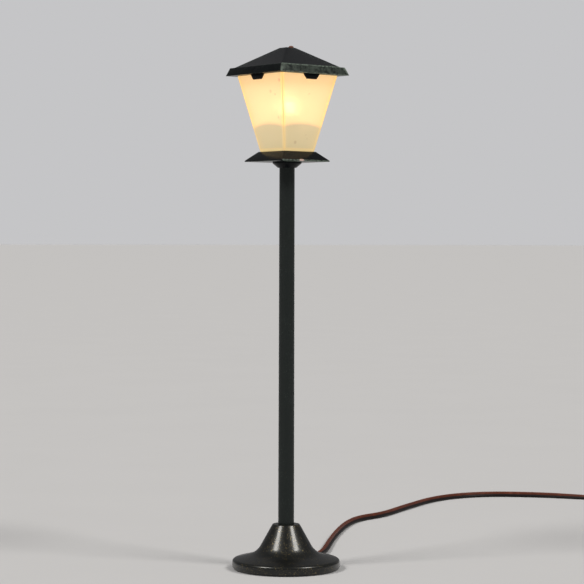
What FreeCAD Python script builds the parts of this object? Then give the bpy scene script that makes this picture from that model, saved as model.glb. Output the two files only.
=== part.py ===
import FreeCAD, Part

import math
import os
import re

import Sketcher

# Miniature street lamp post: a turned weighted base, a tube pole, a tapered
# square lantern of frosted panes under a lift-off roof, a plug-in bulb, and a
# flat twin flex that ends in a small two-pin plug.
# Millimetres, +Z up, origin on the pole's axis at the surface it stands on.
# The lantern is square to X and Y.

Vector = FreeCAD.Vector
UP = Vector(0, 0, 1)
ALONG_Y = Vector(0, 1, 0)
SIDES = ("front", "right", "back", "left")

# name, value, what it is
SIZES = [
    # base
    ("base_radius", 16.2, "outside radius of the base"),
    ("rim_height", 2.9, "height of the rim's sharp corner before rounding"),
    ("rim_round", 1.0, "rounding of the rim's upper edge"),
    ("flare_radius", 8.94, "radius where the disc's top meets the cone"),
    ("flare_height", 4.78, "height where the disc's top meets the cone"),
    ("flare_round", 6.0, "hollow rounding between disc and cone"),
    ("cone_top_radius", 4.05, "radius of the cone's flat top"),
    ("cone_top_height", 13.5, "height of the cone's flat top"),
    ("cone_top_round", 0.35, "rounding of the cone's top edge"),
    ("recess_radius", 7.4, "radius of the recess under the base"),
    ("recess_depth", 5.0, "depth of the recess above the felt"),
    ("felt_thickness", 0.5, "felt pad under the base"),
    ("felt_inset", 0.4, "felt pad stands inside the rim by this"),
    ("exit_angle", 120, "direction in which the flex leaves the base"),
    ("channel_width", 3.4, "flex channel across the underside"),
    ("channel_height", 2.0, "top of the flex channel above the floor"),
    ("saddle_length", 5.0, "rubber saddle over the flex"),
    ("saddle_setback", 0.2, "saddle stands inside the rim by this"),
    ("saddle_lift", 0.15, "saddle stands clear of the floor by this"),
    # pole and its fixings
    ("pole_radius", 2.4, "outside radius of the pole tube"),
    ("pole_wall", 0.5, "wall of the pole tube"),
    ("pole_stub", 0.7, "thread showing past each nut"),
    ("washer_radius", 4.6, "base washer"),
    ("washer_thickness", 0.4, "base washer"),
    ("base_nut_corner", 4.0, "centre to corner of the base nut"),
    ("base_nut_height", 2.0, "height of the base nut"),
    ("slip_fit", 0.02, "radial clearance on the pole, pins and contacts"),
    # collar and lantern plate
    ("post_height", 122.3, "floor to the underside of the lantern plate"),
    ("collar_radius", 4.35, "wide end of the collar under the plate"),
    ("collar_lip", 0.35, "collar's lip outside the pole at its thin end"),
    ("collar_band", 0.5, "straight band at the collar's wide end"),
    ("collar_taper", 1.3, "height of the collar's taper"),
    ("plate_side", 18.2, "lower side of the lantern plate"),
    ("plate_top_side", 12.3, "upper side of the lantern plate"),
    ("plate_edge", 0.35, "upright edge of the lantern plate"),
    ("plate_height", 3.0, "height of the lantern plate"),
    ("step_height", 1.0, "square step that keeps the panes in place"),
    ("step_clearance", 0.3, "step to the panes"),
    ("plate_nut_corner", 3.6, "centre to corner of the plate nut"),
    ("plate_nut_height", 1.2, "height of the plate nut"),
    # lantern panes
    ("seat_gap", 0.05, "panes to plate, and roof to panes"),
    ("glass_low_side", 11.5, "outside of the four panes at the plate"),
    ("glass_high_side", 21.3, "outside of the four panes at the roof"),
    ("glass_height", 22.6, "height of a pane"),
    ("glass_thickness", 1.0, "thickness of a pane, measured level"),
    # roof
    ("roof_side", 26.4, "lower side of the roof"),
    ("fascia_top_side", 24.5, "side at the top of the fascia"),
    ("slope_side", 22.9, "side where the slopes begin, inside a narrow ledge"),
    ("fascia_height", 2.4, "height of the sloping fascia"),
    ("roof_top_side", 3.4, "side of the roof's flat top"),
    ("slope_height", 6.0, "height of the roof's slopes"),
    ("hollow_inset", 0.25, "roof hollow inside the panes' inner faces"),
    ("hollow_top_side", 3.0, "side of the hollow's top"),
    ("roof_crown", 2.2, "solid height between the hollow and the flat top"),
    ("lug_top_width", 6.0, "eaves lug"),
    ("lug_bottom_width", 3.5, "eaves lug"),
    ("lug_height", 1.6, "eaves lug"),
    ("lug_thickness", 0.8, "eaves lug"),
    ("lug_clearance", 0.3, "eaves lug to the panes"),
    ("rivet_radius", 0.8, "head of the roof rivet"),
    ("rivet_head", 0.6, "height of the rivet's head"),
    ("rivet_shift_x", 0.7, "rivet off the middle"),
    ("rivet_shift_y", 0.85, "rivet off the middle"),
    ("rivet_shank_radius", 0.5, "shank of the roof rivet"),
    # bulb and holder
    ("holder_radius", 3.0, "outside radius of the bulb holder"),
    ("holder_height", 8.9, "barrel of the bulb holder"),
    ("spigot_length", 3.0, "holder's spigot down the pole"),
    ("spigot_fit", 0.05, "spigot in the pole's bore, bulb base in the holder"),
    ("socket_depth", 3.0, "recess that takes the bulb base"),
    ("contact_pitch", 1.27, "distance between the two contacts"),
    ("contact_radius", 0.42, "outside radius of a contact tube"),
    ("contact_wall", 0.18, "wall of a contact tube"),
    ("contact_tail", 0.6, "contact below the spigot"),
    ("bulb_base_radius", 2.5, "round base of the bulb"),
    ("bulb_base_height", 2.1, "height of the bulb base"),
    ("bulb_radius", 2.0, "outside radius of the bulb's envelope"),
    ("bulb_wall", 0.3, "wall of the envelope"),
    ("bulb_neck", 3.5, "straight part of the envelope"),
    ("pin_depth", 4.0, "bulb pins below the bulb base"),
    ("filament_height", 2.2, "filament above the bulb base"),
    ("filament_radius", 0.16, "outer radius of the filament's coil"),
    # flex
    ("core_radius", 0.55, "one insulated core of the twin flex"),
    ("core_bend", 2.0, "bend of a core from the channel up the pole"),
    ("coil_radius", 12.0, "middle of the coil's turns"),
    ("coil_turns", 2, "turns on top of each other in the coil"),
    ("tail_length", 17.0, "flex from the coil to the plug"),
    # plug
    ("sleeve_length", 3.0, "sleeve behind the plug"),
    ("sleeve_radius", 1.6, "sleeve behind the plug"),
    ("plug_length", 9.0, "plug body"),
    ("plug_width", 7.0, "plug body"),
    ("plug_corner", 1.0, "rounding of the plug's upright edges"),
    ("plug_pin_radius", 0.5, "plug pin"),
    ("plug_pin_length", 4.0, "plug pin outside the plug"),
    ("plug_pin_root", 5.0, "plug pin inside the plug"),
    ("plug_pin_root_radius", 0.3, "plug pin inside the plug"),
    ("plug_pin_pitch", 3.2, "distance between the plug pins"),
]

# Places worked out from the sizes above.
PLACES = [
    ("recess_top", "felt_thickness + recess_depth"),
    ("pole_inner", "pole_radius - pole_wall"),
    ("washer_base", "recess_top - washer_thickness"),
    ("base_nut_base", "washer_base - base_nut_height"),
    ("pole_bottom", "base_nut_base - pole_stub"),
    ("plate_top", "post_height + plate_height"),
    ("plate_nut_base", "plate_top + step_height"),
    ("pole_top", "plate_nut_base + plate_nut_height + pole_stub"),
    ("collar_base", "post_height - collar_band - collar_taper"),
    ("glass_base", "plate_top + seat_gap"),
    ("glass_low", "glass_low_side / 2"),
    ("glass_high", "glass_high_side / 2"),
    ("roof_base", "glass_base + glass_height + seat_gap"),
    ("roof_flat", "roof_base + fascia_height + slope_height"),
    ("lug_distance", "glass_high + lug_clearance"),
    ("hollow_side", "glass_high_side - 2 * glass_thickness - 2 * hollow_inset"),
    ("hollow_height", "fascia_height + slope_height - roof_crown"),
    ("socket_floor", "pole_top + holder_height - socket_depth"),
    ("contact_bottom", "pole_top - spigot_length - contact_tail"),
    ("bulb_seat", "socket_floor + bulb_base_height"),
    ("filament_place", "bulb_seat + filament_height"),
    ("flex_width", "4 * core_radius"),
    ("flex_thickness", "2 * core_radius"),
    ("tail_height", "(coil_turns - 0.5) * flex_thickness"),
    ("plug_thickness", "2 * tail_height"),
]

# The free flex, from its first free corner to where it meets the coil. Its
# first point is on the base's rim. The flex lies flat on the floor.
FLEX_ROUTE = [
    (-16.1, 27.9),
    (-31.9, 43.3),
    (-47.3, 59.2),
    (-62.8, 76.6),
    (-72.1, 93.7),
    (-75.9, 109.7),
    (-86.9, 130.2),
    (-93.1, 148.8),
    (-87.6, 167.5),
    (-73.3, 182.8),
    (-54.2, 194.4),
    (-35.6, 203.9),
]
ARC_SHARE = 0.45

doc = FreeCAD.newDocument("street_lamp")
sheet = doc.addObject("Spreadsheet::Sheet", "sizes")
ALIASES = {row[0] for row in SIZES + PLACES}


def formula(text):
    """A formula in plain names, written with the sheet's name before each."""
    words = r"[a-z_]+"
    return re.sub(words, lambda word: f"sizes.{word[0]}" if word[0] in ALIASES else word[0], text)


def value(text):
    """The number that a formula gives."""
    return float(sheet.evalExpression(formula(text)))


def bind(thing, prop, text):
    """Tie a property to a formula of the sheet."""
    thing.setExpression(prop, formula(text))


def fill_sheet():
    for row, (alias, number, note) in enumerate(SIZES, 1):
        sheet.set(f"A{row}", note)
        sheet.set(f"B{row}", str(number))
        sheet.setAlias(f"B{row}", alias)
    doc.recompute()
    for row, (alias, text) in enumerate(PLACES, len(SIZES) + 1):
        own = re.sub(r"[a-z_]+", lambda word: word[0], text)
        sheet.set(f"A{row}", "worked out")
        sheet.set(f"B{row}", f"={own}")
        sheet.setAlias(f"B{row}", alias)
        doc.recompute()


def new_body(node, height="0", turn="0"):
    """A body named after its node, at a height and turned about the pole."""
    body = doc.addObject("PartDesign::Body", node)
    body.Label = node
    body.Placement = FreeCAD.Placement(Vector(), FreeCAD.Rotation(UP, 90))
    bind(body, "Placement.Base.z", height)
    bind(body, "Placement.Rotation.Angle", f"({turn}) * 1 deg")
    return body


def new_sketch(body, name, role, offset="0"):
    """A sketch on one of the body's origin planes, moved along its normal."""
    plane = next(item for item in body.Origin.OriginFeatures if item.Role == role)
    sketch = body.newObject("Sketcher::SketchObject", name)
    sketch.AttachmentSupport = [(plane, "")]
    sketch.MapMode = "FlatFace"
    bind(sketch, "AttachmentOffset.Base.z", offset)
    return sketch


def pin_point(sketch, edge, end, x, y):
    """Hold one end of an edge at a place given by two formulas."""
    for kind, text in (("DistanceX", x), ("DistanceY", y)):
        index = sketch.addConstraint(Sketcher.Constraint(kind, -1, 1, edge, end, value(text)))
        sketch.setExpression(f"Constraints[{index}]", formula(text))


def outline(sketch, corners):
    """Straight sides through corners given as pairs of formulas."""
    places = [Vector(value(x), value(y), 0) for x, y in corners]
    count = len(corners)
    for index in range(count):
        sketch.addGeometry(Part.LineSegment(places[index], places[(index + 1) % count]))
    for index in range(count):
        sketch.addConstraint(Sketcher.Constraint("Coincident", index, 2, (index + 1) % count, 1))
    for index, (x, y) in enumerate(corners):
        pin_point(sketch, index, 1, x, y)


def turned(node, corners, height="0", turn="0"):
    """A body turned about the pole's axis from (radius, height) corners."""
    body = new_body(node, height, turn)
    sketch = new_sketch(body, f"{node}_profile", "XZ_Plane")
    outline(sketch, corners)
    turning = body.newObject("PartDesign::Revolution", f"{node}_turning")
    turning.Profile = sketch
    turning.ReferenceAxis = (sketch, ["V_Axis"])
    turning.Angle = 360
    doc.recompute()
    return body


def rounded(body, name, radius, wanted):
    """Round the edges of a body that a test picks."""
    doc.recompute()
    tip = body.Tip
    names = [f"Edge{number}" for number, edge in enumerate(tip.Shape.Edges, 1) if wanted(edge)]
    fillet = body.newObject("PartDesign::Fillet", name)
    fillet.Base = (tip, names)
    bind(fillet, "Radius", radius)
    doc.recompute()


def is_circle(radius, height):
    """A test for the level circle of a radius at a height."""
    def wanted(edge):
        curve = edge.Curve
        if not isinstance(curve, Part.Circle):
            return False
        near_radius = abs(curve.Radius - value(radius)) < 0.01
        return near_radius and abs(curve.Center.z - value(height)) < 0.01
    return wanted


def cylinder(body, name, radius, height, base="0", x="0", y="0", cut=False):
    """Add or cut an upright cylinder."""
    kind = "SubtractiveCylinder" if cut else "AdditiveCylinder"
    feature = body.newObject(f"PartDesign::{kind}", name)
    bind(feature, "Radius", radius)
    bind(feature, "Height", height)
    bind(feature, "Placement.Base.x", x)
    bind(feature, "Placement.Base.y", y)
    bind(feature, "Placement.Base.z", base)
    return feature


def sphere(body, name, radius, base, cut=False):
    """Add or cut a sphere on the body's axis."""
    kind = "SubtractiveSphere" if cut else "AdditiveSphere"
    feature = body.newObject(f"PartDesign::{kind}", name)
    bind(feature, "Radius", radius)
    bind(feature, "Placement.Base.z", base)


def box(body, name, start, length, width, base, height, cut=False):
    """Add or cut a box that runs outwards along X from its start."""
    kind = "SubtractiveBox" if cut else "AdditiveBox"
    feature = body.newObject(f"PartDesign::{kind}", name)
    bind(feature, "Length", length)
    bind(feature, "Width", width)
    bind(feature, "Height", height)
    bind(feature, "Placement.Base.x", start)
    bind(feature, "Placement.Base.y", f"-({width}) / 2")
    bind(feature, "Placement.Base.z", base)


def pyramid(body, name, low_side, high_side, base, height, cut=False):
    """Add or cut a square frustum that stands on the body's axis."""
    kind = "SubtractiveWedge" if cut else "AdditiveWedge"
    feature = body.newObject(f"PartDesign::{kind}", name)
    feature.Placement = FreeCAD.Placement(Vector(), FreeCAD.Rotation(Vector(1, 0, 0), 90))
    for low_end, high_end, side in (("min", "max", low_side), ("2min", "2max", high_side)):
        for letter in "XZ":
            bind(feature, letter + low_end, f"-({side}) / 2")
            bind(feature, letter + high_end, f"({side}) / 2")
    feature.Ymin = 0
    bind(feature, "Ymax", height)
    bind(feature, "Placement.Base.z", base)
    return feature


def plain_disc(node, radius, height, base):
    body = new_body(node, base)
    cylinder(body, f"{node}_disc", radius, height)
    return body


def ring(node, radius, bore, height, base):
    body = plain_disc(node, radius, height, base)
    cylinder(body, f"{node}_bore", bore, height, cut=True)
    return body


def hexagon_nut(node, corner, height, base):
    body = new_body(node, base)
    prism = body.newObject("PartDesign::AdditivePrism", f"{node}_prism")
    prism.Polygon = 6
    bind(prism, "Circumradius", corner)
    bind(prism, "Height", height)
    cylinder(body, f"{node}_bore", "pole_radius + slip_fit", height, cut=True)


def make_base():
    casting = turned("base_casting", [
        ("recess_radius", "felt_thickness"),
        ("base_radius", "felt_thickness"),
        ("base_radius", "rim_height"),
        ("flare_radius", "flare_height"),
        ("cone_top_radius", "cone_top_height"),
        ("pole_radius + slip_fit", "cone_top_height"),
        ("pole_radius + slip_fit", "recess_top"),
        ("recess_radius", "recess_top"),
    ], turn="exit_angle")
    rounded(casting, "rim_rounding", "rim_round", is_circle("base_radius", "rim_height"))
    rounded(casting, "flare_rounding", "flare_round", is_circle("flare_radius", "flare_height"))
    rounded(casting, "top_rounding", "cone_top_round", is_circle("cone_top_radius", "cone_top_height"))
    box(casting, "flex_channel", "recess_radius - channel_width / 2", "base_radius", "channel_width",
        "0", "channel_height", cut=True)

    felt = new_body("base_felt", "0", "exit_angle")
    cylinder(felt, "felt_disc", "base_radius - felt_inset", "felt_thickness")
    box(felt, "felt_notch", "-flex_width / 2", "base_radius + flex_width", "channel_width",
        "0", "felt_thickness", cut=True)

    saddle = new_body("flex_saddle", "saddle_lift", "exit_angle")
    start = "base_radius - saddle_setback - saddle_length"
    box(saddle, "saddle_block", start, "saddle_length", "channel_width",
        "0", "channel_height - saddle_lift")
    box(saddle, "saddle_slot", start, "saddle_length", "flex_width",
        "0", "flex_thickness - saddle_lift", cut=True)

    ring("base_washer", "washer_radius", "pole_radius + slip_fit", "washer_thickness", "washer_base")
    hexagon_nut("base_nut", "base_nut_corner", "base_nut_height", "base_nut_base")


def make_pole():
    ring("pole_tube", "pole_radius", "pole_inner", "pole_top - pole_bottom", "pole_bottom")
    turned("lantern_collar", [
        ("pole_radius + slip_fit", "0"),
        ("pole_radius + collar_lip", "0"),
        ("collar_radius", "collar_taper"),
        ("collar_radius", "collar_taper + collar_band"),
        ("pole_radius + slip_fit", "collar_taper + collar_band"),
    ], "collar_base")


def make_plate():
    plate = new_body("lantern_plate", "post_height")
    pyramid(plate, "plate_rim", "plate_side", "plate_side", "0", "plate_edge")
    pyramid(plate, "plate_slopes", "plate_side", "plate_top_side", "plate_edge", "plate_height - plate_edge")
    step_side = "glass_low_side - 2 * glass_thickness - 2 * step_clearance"
    pyramid(plate, "plate_step", step_side, step_side, "plate_height", "step_height")
    cylinder(plate, "plate_bore", "pole_radius + slip_fit", "plate_height + step_height", cut=True)
    hexagon_nut("plate_nut", "plate_nut_corner", "plate_nut_height", "plate_nut_base")


def pane_section(sketch, reach):
    """A pane's level section: mitred at both ends, on the -Y side."""
    inner = f"({reach} - glass_thickness)"
    outline(sketch, [
        (f"-{reach}", f"-{reach}"),
        (reach, f"-{reach}"),
        (inner, f"-{inner}"),
        (f"-{inner}", f"-{inner}"),
    ])


def make_panes():
    for number, side in enumerate(SIDES):
        node = f"glass_pane_{side}"
        body = new_body(node, "glass_base", f"{90 * number}")
        low = new_sketch(body, f"{node}_low", "XY_Plane")
        pane_section(low, "glass_low")
        high = new_sketch(body, f"{node}_high", "XY_Plane", "glass_height")
        pane_section(high, "glass_high")
        loft = body.newObject("PartDesign::AdditiveLoft", f"{node}_loft")
        loft.Profile = low
        loft.Sections = [high]
        loft.Ruled = True


def make_roof():
    roof = new_body("roof_shell", "roof_base")
    pyramid(roof, "fascia", "roof_side", "fascia_top_side", "0", "fascia_height")
    pyramid(roof, "slopes", "slope_side", "roof_top_side", "fascia_height", "slope_height")
    pyramid(roof, "hollow", "hollow_side", "hollow_top_side", "0", "hollow_height", cut=True)
    spot = {"x": "rivet_shift_x", "y": "rivet_shift_y"}
    cylinder(roof, "rivet_hole", "rivet_shank_radius + slip_fit", "roof_crown", "hollow_height",
             cut=True, **spot)

    rivet = new_body("roof_rivet", "roof_flat")
    cylinder(rivet, "rivet_shank", "rivet_shank_radius", "roof_crown", "-roof_crown", **spot)
    cylinder(rivet, "rivet_head_disc", "rivet_radius", "rivet_head", **spot)

    for number, side in enumerate(SIDES):
        node = f"roof_lug_{side}"
        body = new_body(node, "roof_base - lug_height", f"{90 * number}")
        sketch = new_sketch(body, f"{node}_shape", "XZ_Plane", "lug_distance")
        outline(sketch, [
            ("-lug_bottom_width / 2", "0"),
            ("lug_bottom_width / 2", "0"),
            ("lug_top_width / 2", "lug_height"),
            ("-lug_top_width / 2", "lug_height"),
        ])
        pad = body.newObject("PartDesign::Pad", f"{node}_pad")
        pad.Profile = sketch
        bind(pad, "Length", "lug_thickness")


def make_holder():
    holder = new_body("bulb_holder", "pole_top", "exit_angle")
    cylinder(holder, "holder_spigot", "pole_inner - spigot_fit", "spigot_length", "-spigot_length")
    cylinder(holder, "holder_barrel", "holder_radius", "holder_height")
    cylinder(holder, "holder_socket", "bulb_base_radius + spigot_fit", "socket_depth",
             "holder_height - socket_depth", cut=True)
    for letter, sign in (("a", "-"), ("b", "")):
        across = f"{sign}contact_pitch / 2"
        cylinder(holder, f"contact_bore_{letter}", "contact_radius", "spigot_length + holder_height",
                 "-spigot_length", y=across, cut=True)
        contact = new_body(f"holder_contact_{letter}", "contact_bottom", "exit_angle")
        cylinder(contact, f"contact_tube_{letter}", "contact_radius", "socket_floor - contact_bottom",
                 y=across)
        cylinder(contact, f"contact_hole_{letter}", "contact_radius - contact_wall",
                 "socket_floor - contact_bottom - contact_tail", "contact_tail", y=across, cut=True)


def make_bulb():
    pin = "contact_radius - contact_wall - slip_fit"
    base = new_body("bulb_base", "socket_floor", "exit_angle")
    cylinder(base, "bulb_base_disc", "bulb_base_radius", "bulb_base_height")
    for letter, sign in (("a", "-"), ("b", "")):
        across = f"{sign}contact_pitch / 2"
        cylinder(base, f"base_hole_{letter}", pin, "bulb_base_height", y=across, cut=True)
        wire = new_body(f"bulb_pin_{letter}", "socket_floor - pin_depth", "exit_angle")
        cylinder(wire, f"pin_wire_{letter}", pin, "pin_depth + bulb_base_height + filament_height",
                 y=across)

    globe = new_body("bulb_envelope", "bulb_seat")
    inner = "bulb_radius - bulb_wall"
    cylinder(globe, "envelope_neck", "bulb_radius", "bulb_neck")
    sphere(globe, "envelope_dome", "bulb_radius", "bulb_neck")
    cylinder(globe, "neck_inside", inner, "bulb_neck", cut=True)
    sphere(globe, "dome_inside", inner, "bulb_neck", cut=True)

    filament = new_body("bulb_filament", "filament_place + filament_radius", "exit_angle")
    coil = cylinder(filament, "filament_coil", "filament_radius", f"contact_pitch + 2 * ({pin})",
                    y=f"contact_pitch / 2 + {pin}")
    coil.Placement = FreeCAD.Placement(coil.Placement.Base, FreeCAD.Rotation(Vector(1, 0, 0), 90))


def make_cores():
    """The two cores: in along the channel, then up the pole to the contacts."""
    for colour, sign in (("red", ""), ("black", "-")):
        node = f"flex_core_{colour}"
        body = new_body(node, "core_radius", "exit_angle")
        # The plane's normal is -Y, so a shift to -Y is positive.
        shift = f"-({sign}core_radius)"
        path = new_sketch(body, f"{node}_path", "XZ_Plane", shift)
        bend = value("core_bend")
        rise = value("contact_bottom - core_radius")
        path.addGeometry(Part.LineSegment(Vector(value("base_radius"), 0, 0), Vector(bend, 0, 0)))
        quarter = Part.Circle(Vector(bend, bend, 0), UP, bend)
        path.addGeometry(Part.ArcOfCircle(quarter, math.pi, 1.5 * math.pi))
        path.addGeometry(Part.LineSegment(Vector(0, bend, 0), Vector(0, rise, 0)))
        path.addConstraint(Sketcher.Constraint("Coincident", 1, 1, 2, 1))
        pin_point(path, 0, 1, "base_radius", "0")
        pin_point(path, 0, 2, "core_bend", "0")
        pin_point(path, 2, 1, "0", "core_bend")
        pin_point(path, 2, 2, "0", "contact_bottom - core_radius")
        path.addConstraint(Sketcher.Constraint("Tangent", 0, 2, 1, 2))
        section = new_sketch(body, f"{node}_section", "YZ_Plane", "base_radius")
        section.addGeometry(Part.Circle(Vector(value(f"{sign}core_radius"), 0, 0), UP, 0.5))
        pin_point(section, 0, 3, f"{sign}core_radius", "0")
        index = section.addConstraint(Sketcher.Constraint("Radius", 0, 0.5))
        section.setExpression(f"Constraints[{index}]", formula("core_radius"))
        pipe = body.newObject("PartDesign::AdditivePipe", f"{node}_pipe")
        pipe.Profile = section
        pipe.Spine = (path, ["Edge1", "Edge2", "Edge3"])


def rounded_path(points):
    """Straight runs through points, each corner an arc as large as its runs allow."""
    edges = []
    start = points[0]
    for before, corner, after in zip(points, points[1:], points[2:]):
        back = (before - corner).normalize()
        ahead = (after - corner).normalize()
        half_turn = (math.pi - back.getAngle(ahead)) / 2
        reach = ARC_SHARE * min((before - corner).Length, (after - corner).Length)
        radius = reach / math.tan(half_turn)
        leave = corner + back * reach
        join = corner + ahead * reach
        inwards = (back + ahead).normalize()
        middle = corner + inwards * (radius / math.cos(half_turn) - radius)
        edges.append(Part.LineSegment(start, leave).toShape())
        edges.append(Part.Arc(leave, middle, join).toShape())
        print(f"flex radius {radius:.1f}")
        start = join
    edges.append(Part.LineSegment(start, points[-1]).toShape())
    return Part.Wire(edges)


def flex_section(place, heading):
    """The flat twin flex cut across: two straight sides and two half circles."""
    radius = value("core_radius")
    across = UP.cross(heading).normalize()
    edges = []
    for sign in (1, -1):
        centre = place + across * (sign * radius)
        low = centre - UP * (sign * radius)
        high = centre + UP * (sign * radius)
        edges.append(Part.Arc(low, centre + across * (sign * radius), high).toShape())
        edges.append(Part.LineSegment(high, high - across * (sign * 2 * radius)).toShape())
    return Part.Wire(edges)


def flat_tube(path):
    """The flex's section swept level along a level path."""
    first = path.Edges[0]
    heading = first.tangentAt(first.FirstParameter)
    sweep = Part.BRepOffsetAPI.MakePipeShell(path)
    sweep.setBiNormalMode(UP)
    sweep.add(flex_section(first.valueAt(first.FirstParameter), heading))
    sweep.build()
    sweep.makeSolid()
    tube = sweep.shape()
    section = math.pi * value("core_radius") ** 2 + value("flex_thickness") ** 2
    whole = section * path.Length
    print(f"flex tube {path.Length:.1f} long, volume {tube.Volume:.1f}, section x length {whole:.1f}")
    return tube


def add_shape(node, shape, placement=None):
    item = doc.addObject("Part::Feature", node)
    item.Label = node
    item.Shape = shape
    item.Placement = placement or FreeCAD.Placement()


def flex_end():
    """Where the coil begins and ends, and the way the flex points there."""
    last = Vector(*FLEX_ROUTE[-1], 0)
    before = Vector(*FLEX_ROUTE[-2], 0)
    return last, (last - before).normalize()


def make_flex():
    """The free flex: a flat tube to the coil, the coil, and a tail to the plug."""
    angle = math.radians(value("exit_angle"))
    rim = Vector(math.cos(angle), math.sin(angle), 0) * value("base_radius")
    lying = UP * value("core_radius")
    route = [rim + lying] + [Vector(x, y, 0) + lying for x, y in FLEX_ROUTE]
    last, heading = flex_end()
    centre = last + heading.cross(UP) * value("coil_radius")
    half_width = value("flex_width / 2")
    height = value("coil_turns * flex_thickness")
    outer = Part.makeCylinder(value("coil_radius") + half_width, height, centre)
    inner = Part.makeCylinder(value("coil_radius") - half_width, height, centre)
    add_shape("flex_tube", flat_tube(rounded_path(route)).cut(outer))
    add_shape("flex_coil", outer.cut(inner))
    lifted = UP * value("tail_height")
    start = last + lifted
    end = start + heading * value("tail_length")
    tail = Part.Wire([Part.LineSegment(start, end).toShape()])
    add_shape("flex_tail", flat_tube(tail).cut(outer))


def plug_body(node):
    """A body whose X runs out of the plug's sleeve along its pins."""
    last, heading = flex_end()
    start = last + heading * value("tail_length") + UP * value("tail_height")
    body = doc.addObject("PartDesign::Body", node)
    body.Label = node
    turn = math.degrees(math.atan2(heading.y, heading.x))
    body.Placement = FreeCAD.Placement(start, FreeCAD.Rotation(UP, turn))
    return body


def lengthwise(body, name, radius, length, start, y="0", cut=False):
    """Add or cut a cylinder that lies along the body's X."""
    feature = cylinder(body, name, radius, length, x=start, y=y, cut=cut)
    feature.Placement = FreeCAD.Placement(Vector(), FreeCAD.Rotation(ALONG_Y, 90))
    return feature


def make_plug():
    sleeve = plug_body("plug_sleeve")
    lengthwise(sleeve, "sleeve_round", "sleeve_radius", "sleeve_length", "0")

    half = "plug_thickness / 2"
    for node, base in (("plug_lower_half", f"-{half}"), ("plug_upper_half", "0")):
        body = plug_body(node)
        box(body, f"{node}_block", "sleeve_length", "plug_length", "plug_width", base, half)
        rounded(body, f"{node}_rounding", "plug_corner", is_upright)
        for letter, sign in (("a", "-"), ("b", "")):
            lengthwise(body, f"{node}_seat_{letter}", "plug_pin_root_radius", "plug_pin_root",
                       "sleeve_length + plug_length - plug_pin_root", f"{sign}plug_pin_pitch / 2", cut=True)

    for letter, sign in (("a", "-"), ("b", "")):
        body = plug_body(f"plug_pin_{letter}")
        lengthwise(body, f"plug_pin_root_{letter}", "plug_pin_root_radius", "plug_pin_root",
                   "sleeve_length + plug_length - plug_pin_root", f"{sign}plug_pin_pitch / 2")
        lengthwise(body, f"plug_pin_free_{letter}", "plug_pin_radius", "plug_pin_length",
                   "sleeve_length + plug_length", f"{sign}plug_pin_pitch / 2")


def is_upright(edge):
    first, last = edge.Vertexes[0].Point, edge.Vertexes[-1].Point
    return abs((last - first).normalize().z) > 0.99


def sub_parts():
    """The finished pieces: every body and every plain shape."""
    kinds = ("PartDesign::Body", "Part::Feature")
    return [item for item in doc.Objects if item.TypeId in kinds]


def check_and_export():
    doc.recompute()
    for item in doc.Objects:
        if "Invalid" in item.State or "Error" in item.State:
            raise RuntimeError(f"{item.Label} did not recompute")
    os.makedirs("parts", exist_ok=True)
    for item in sub_parts():
        if item.Shape.isNull() or not item.Shape.isValid():
            raise RuntimeError(f"{item.Label} has no sound shape")
    for item in sub_parts():
        item.Shape.exportStep(f"parts/{item.Label}.step")
        print(f"{item.Label} volume {item.Shape.Volume:.3f} solids {len(item.Shape.Solids)}")


fill_sheet()
make_base()
make_pole()
make_plate()
make_panes()
make_roof()
make_holder()
make_bulb()
make_cores()
make_flex()
make_plug()
check_and_export()
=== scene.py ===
"""Looks of a miniature street lamp post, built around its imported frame.

Every length is in metres in the frame's own axes: +Z up the pole, the lantern
square to X and Y, and the origin on the pole's axis where the lamp stands.
"""

import logging
import math
from collections.abc import Iterable, Sequence
from dataclasses import dataclass
from enum import Enum
from typing import Any

import bmesh
import bpy
from mathutils import Matrix, Vector


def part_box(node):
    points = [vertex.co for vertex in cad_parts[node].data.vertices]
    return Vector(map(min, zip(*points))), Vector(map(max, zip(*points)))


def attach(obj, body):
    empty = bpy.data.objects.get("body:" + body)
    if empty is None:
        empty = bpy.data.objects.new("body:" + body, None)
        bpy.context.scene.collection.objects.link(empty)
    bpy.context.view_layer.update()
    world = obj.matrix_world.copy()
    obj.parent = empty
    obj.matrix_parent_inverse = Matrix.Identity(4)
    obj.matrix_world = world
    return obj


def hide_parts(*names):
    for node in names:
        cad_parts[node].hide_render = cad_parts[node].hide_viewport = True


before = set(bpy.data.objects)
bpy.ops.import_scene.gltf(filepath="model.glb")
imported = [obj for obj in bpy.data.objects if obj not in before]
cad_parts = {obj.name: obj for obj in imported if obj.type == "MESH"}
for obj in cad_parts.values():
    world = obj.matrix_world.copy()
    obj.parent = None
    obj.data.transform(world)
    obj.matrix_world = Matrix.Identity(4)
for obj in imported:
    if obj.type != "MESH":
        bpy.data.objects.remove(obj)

LOG = logging.getLogger("street_lamp")
MM = 0.001
SEAM = 1e-6  # points nearer than this are one
SLIDING = 0.02 * MM  # radial room between a hole and what goes through it
EXIT_ANGLE = 120.0  # degrees from +X towards +Y at which the flex leaves
CONTACT_PITCH = 1.27 * MM  # between the bulb's pins, and the holder's contacts
QUARTER = 90.0  # degrees
FULL_TURN = 2 * math.pi
SIDE_NAMES = ("front", "right", "back", "left")
Colour = tuple[float, float, float]
Outline = list[tuple[float, float]]


class Body(Enum):
    """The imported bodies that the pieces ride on."""

    POST = "post"
    GLAZING = "glazing"
    ROOF = "roof"
    BULB = "bulb"


class Sides(Enum):
    """How many flats a turned piece has."""

    ROUND = 128
    FINE = 48
    SQUARE = 4
    HEXAGON = 6


# ---------------------------------------------------------------- node trees


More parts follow.
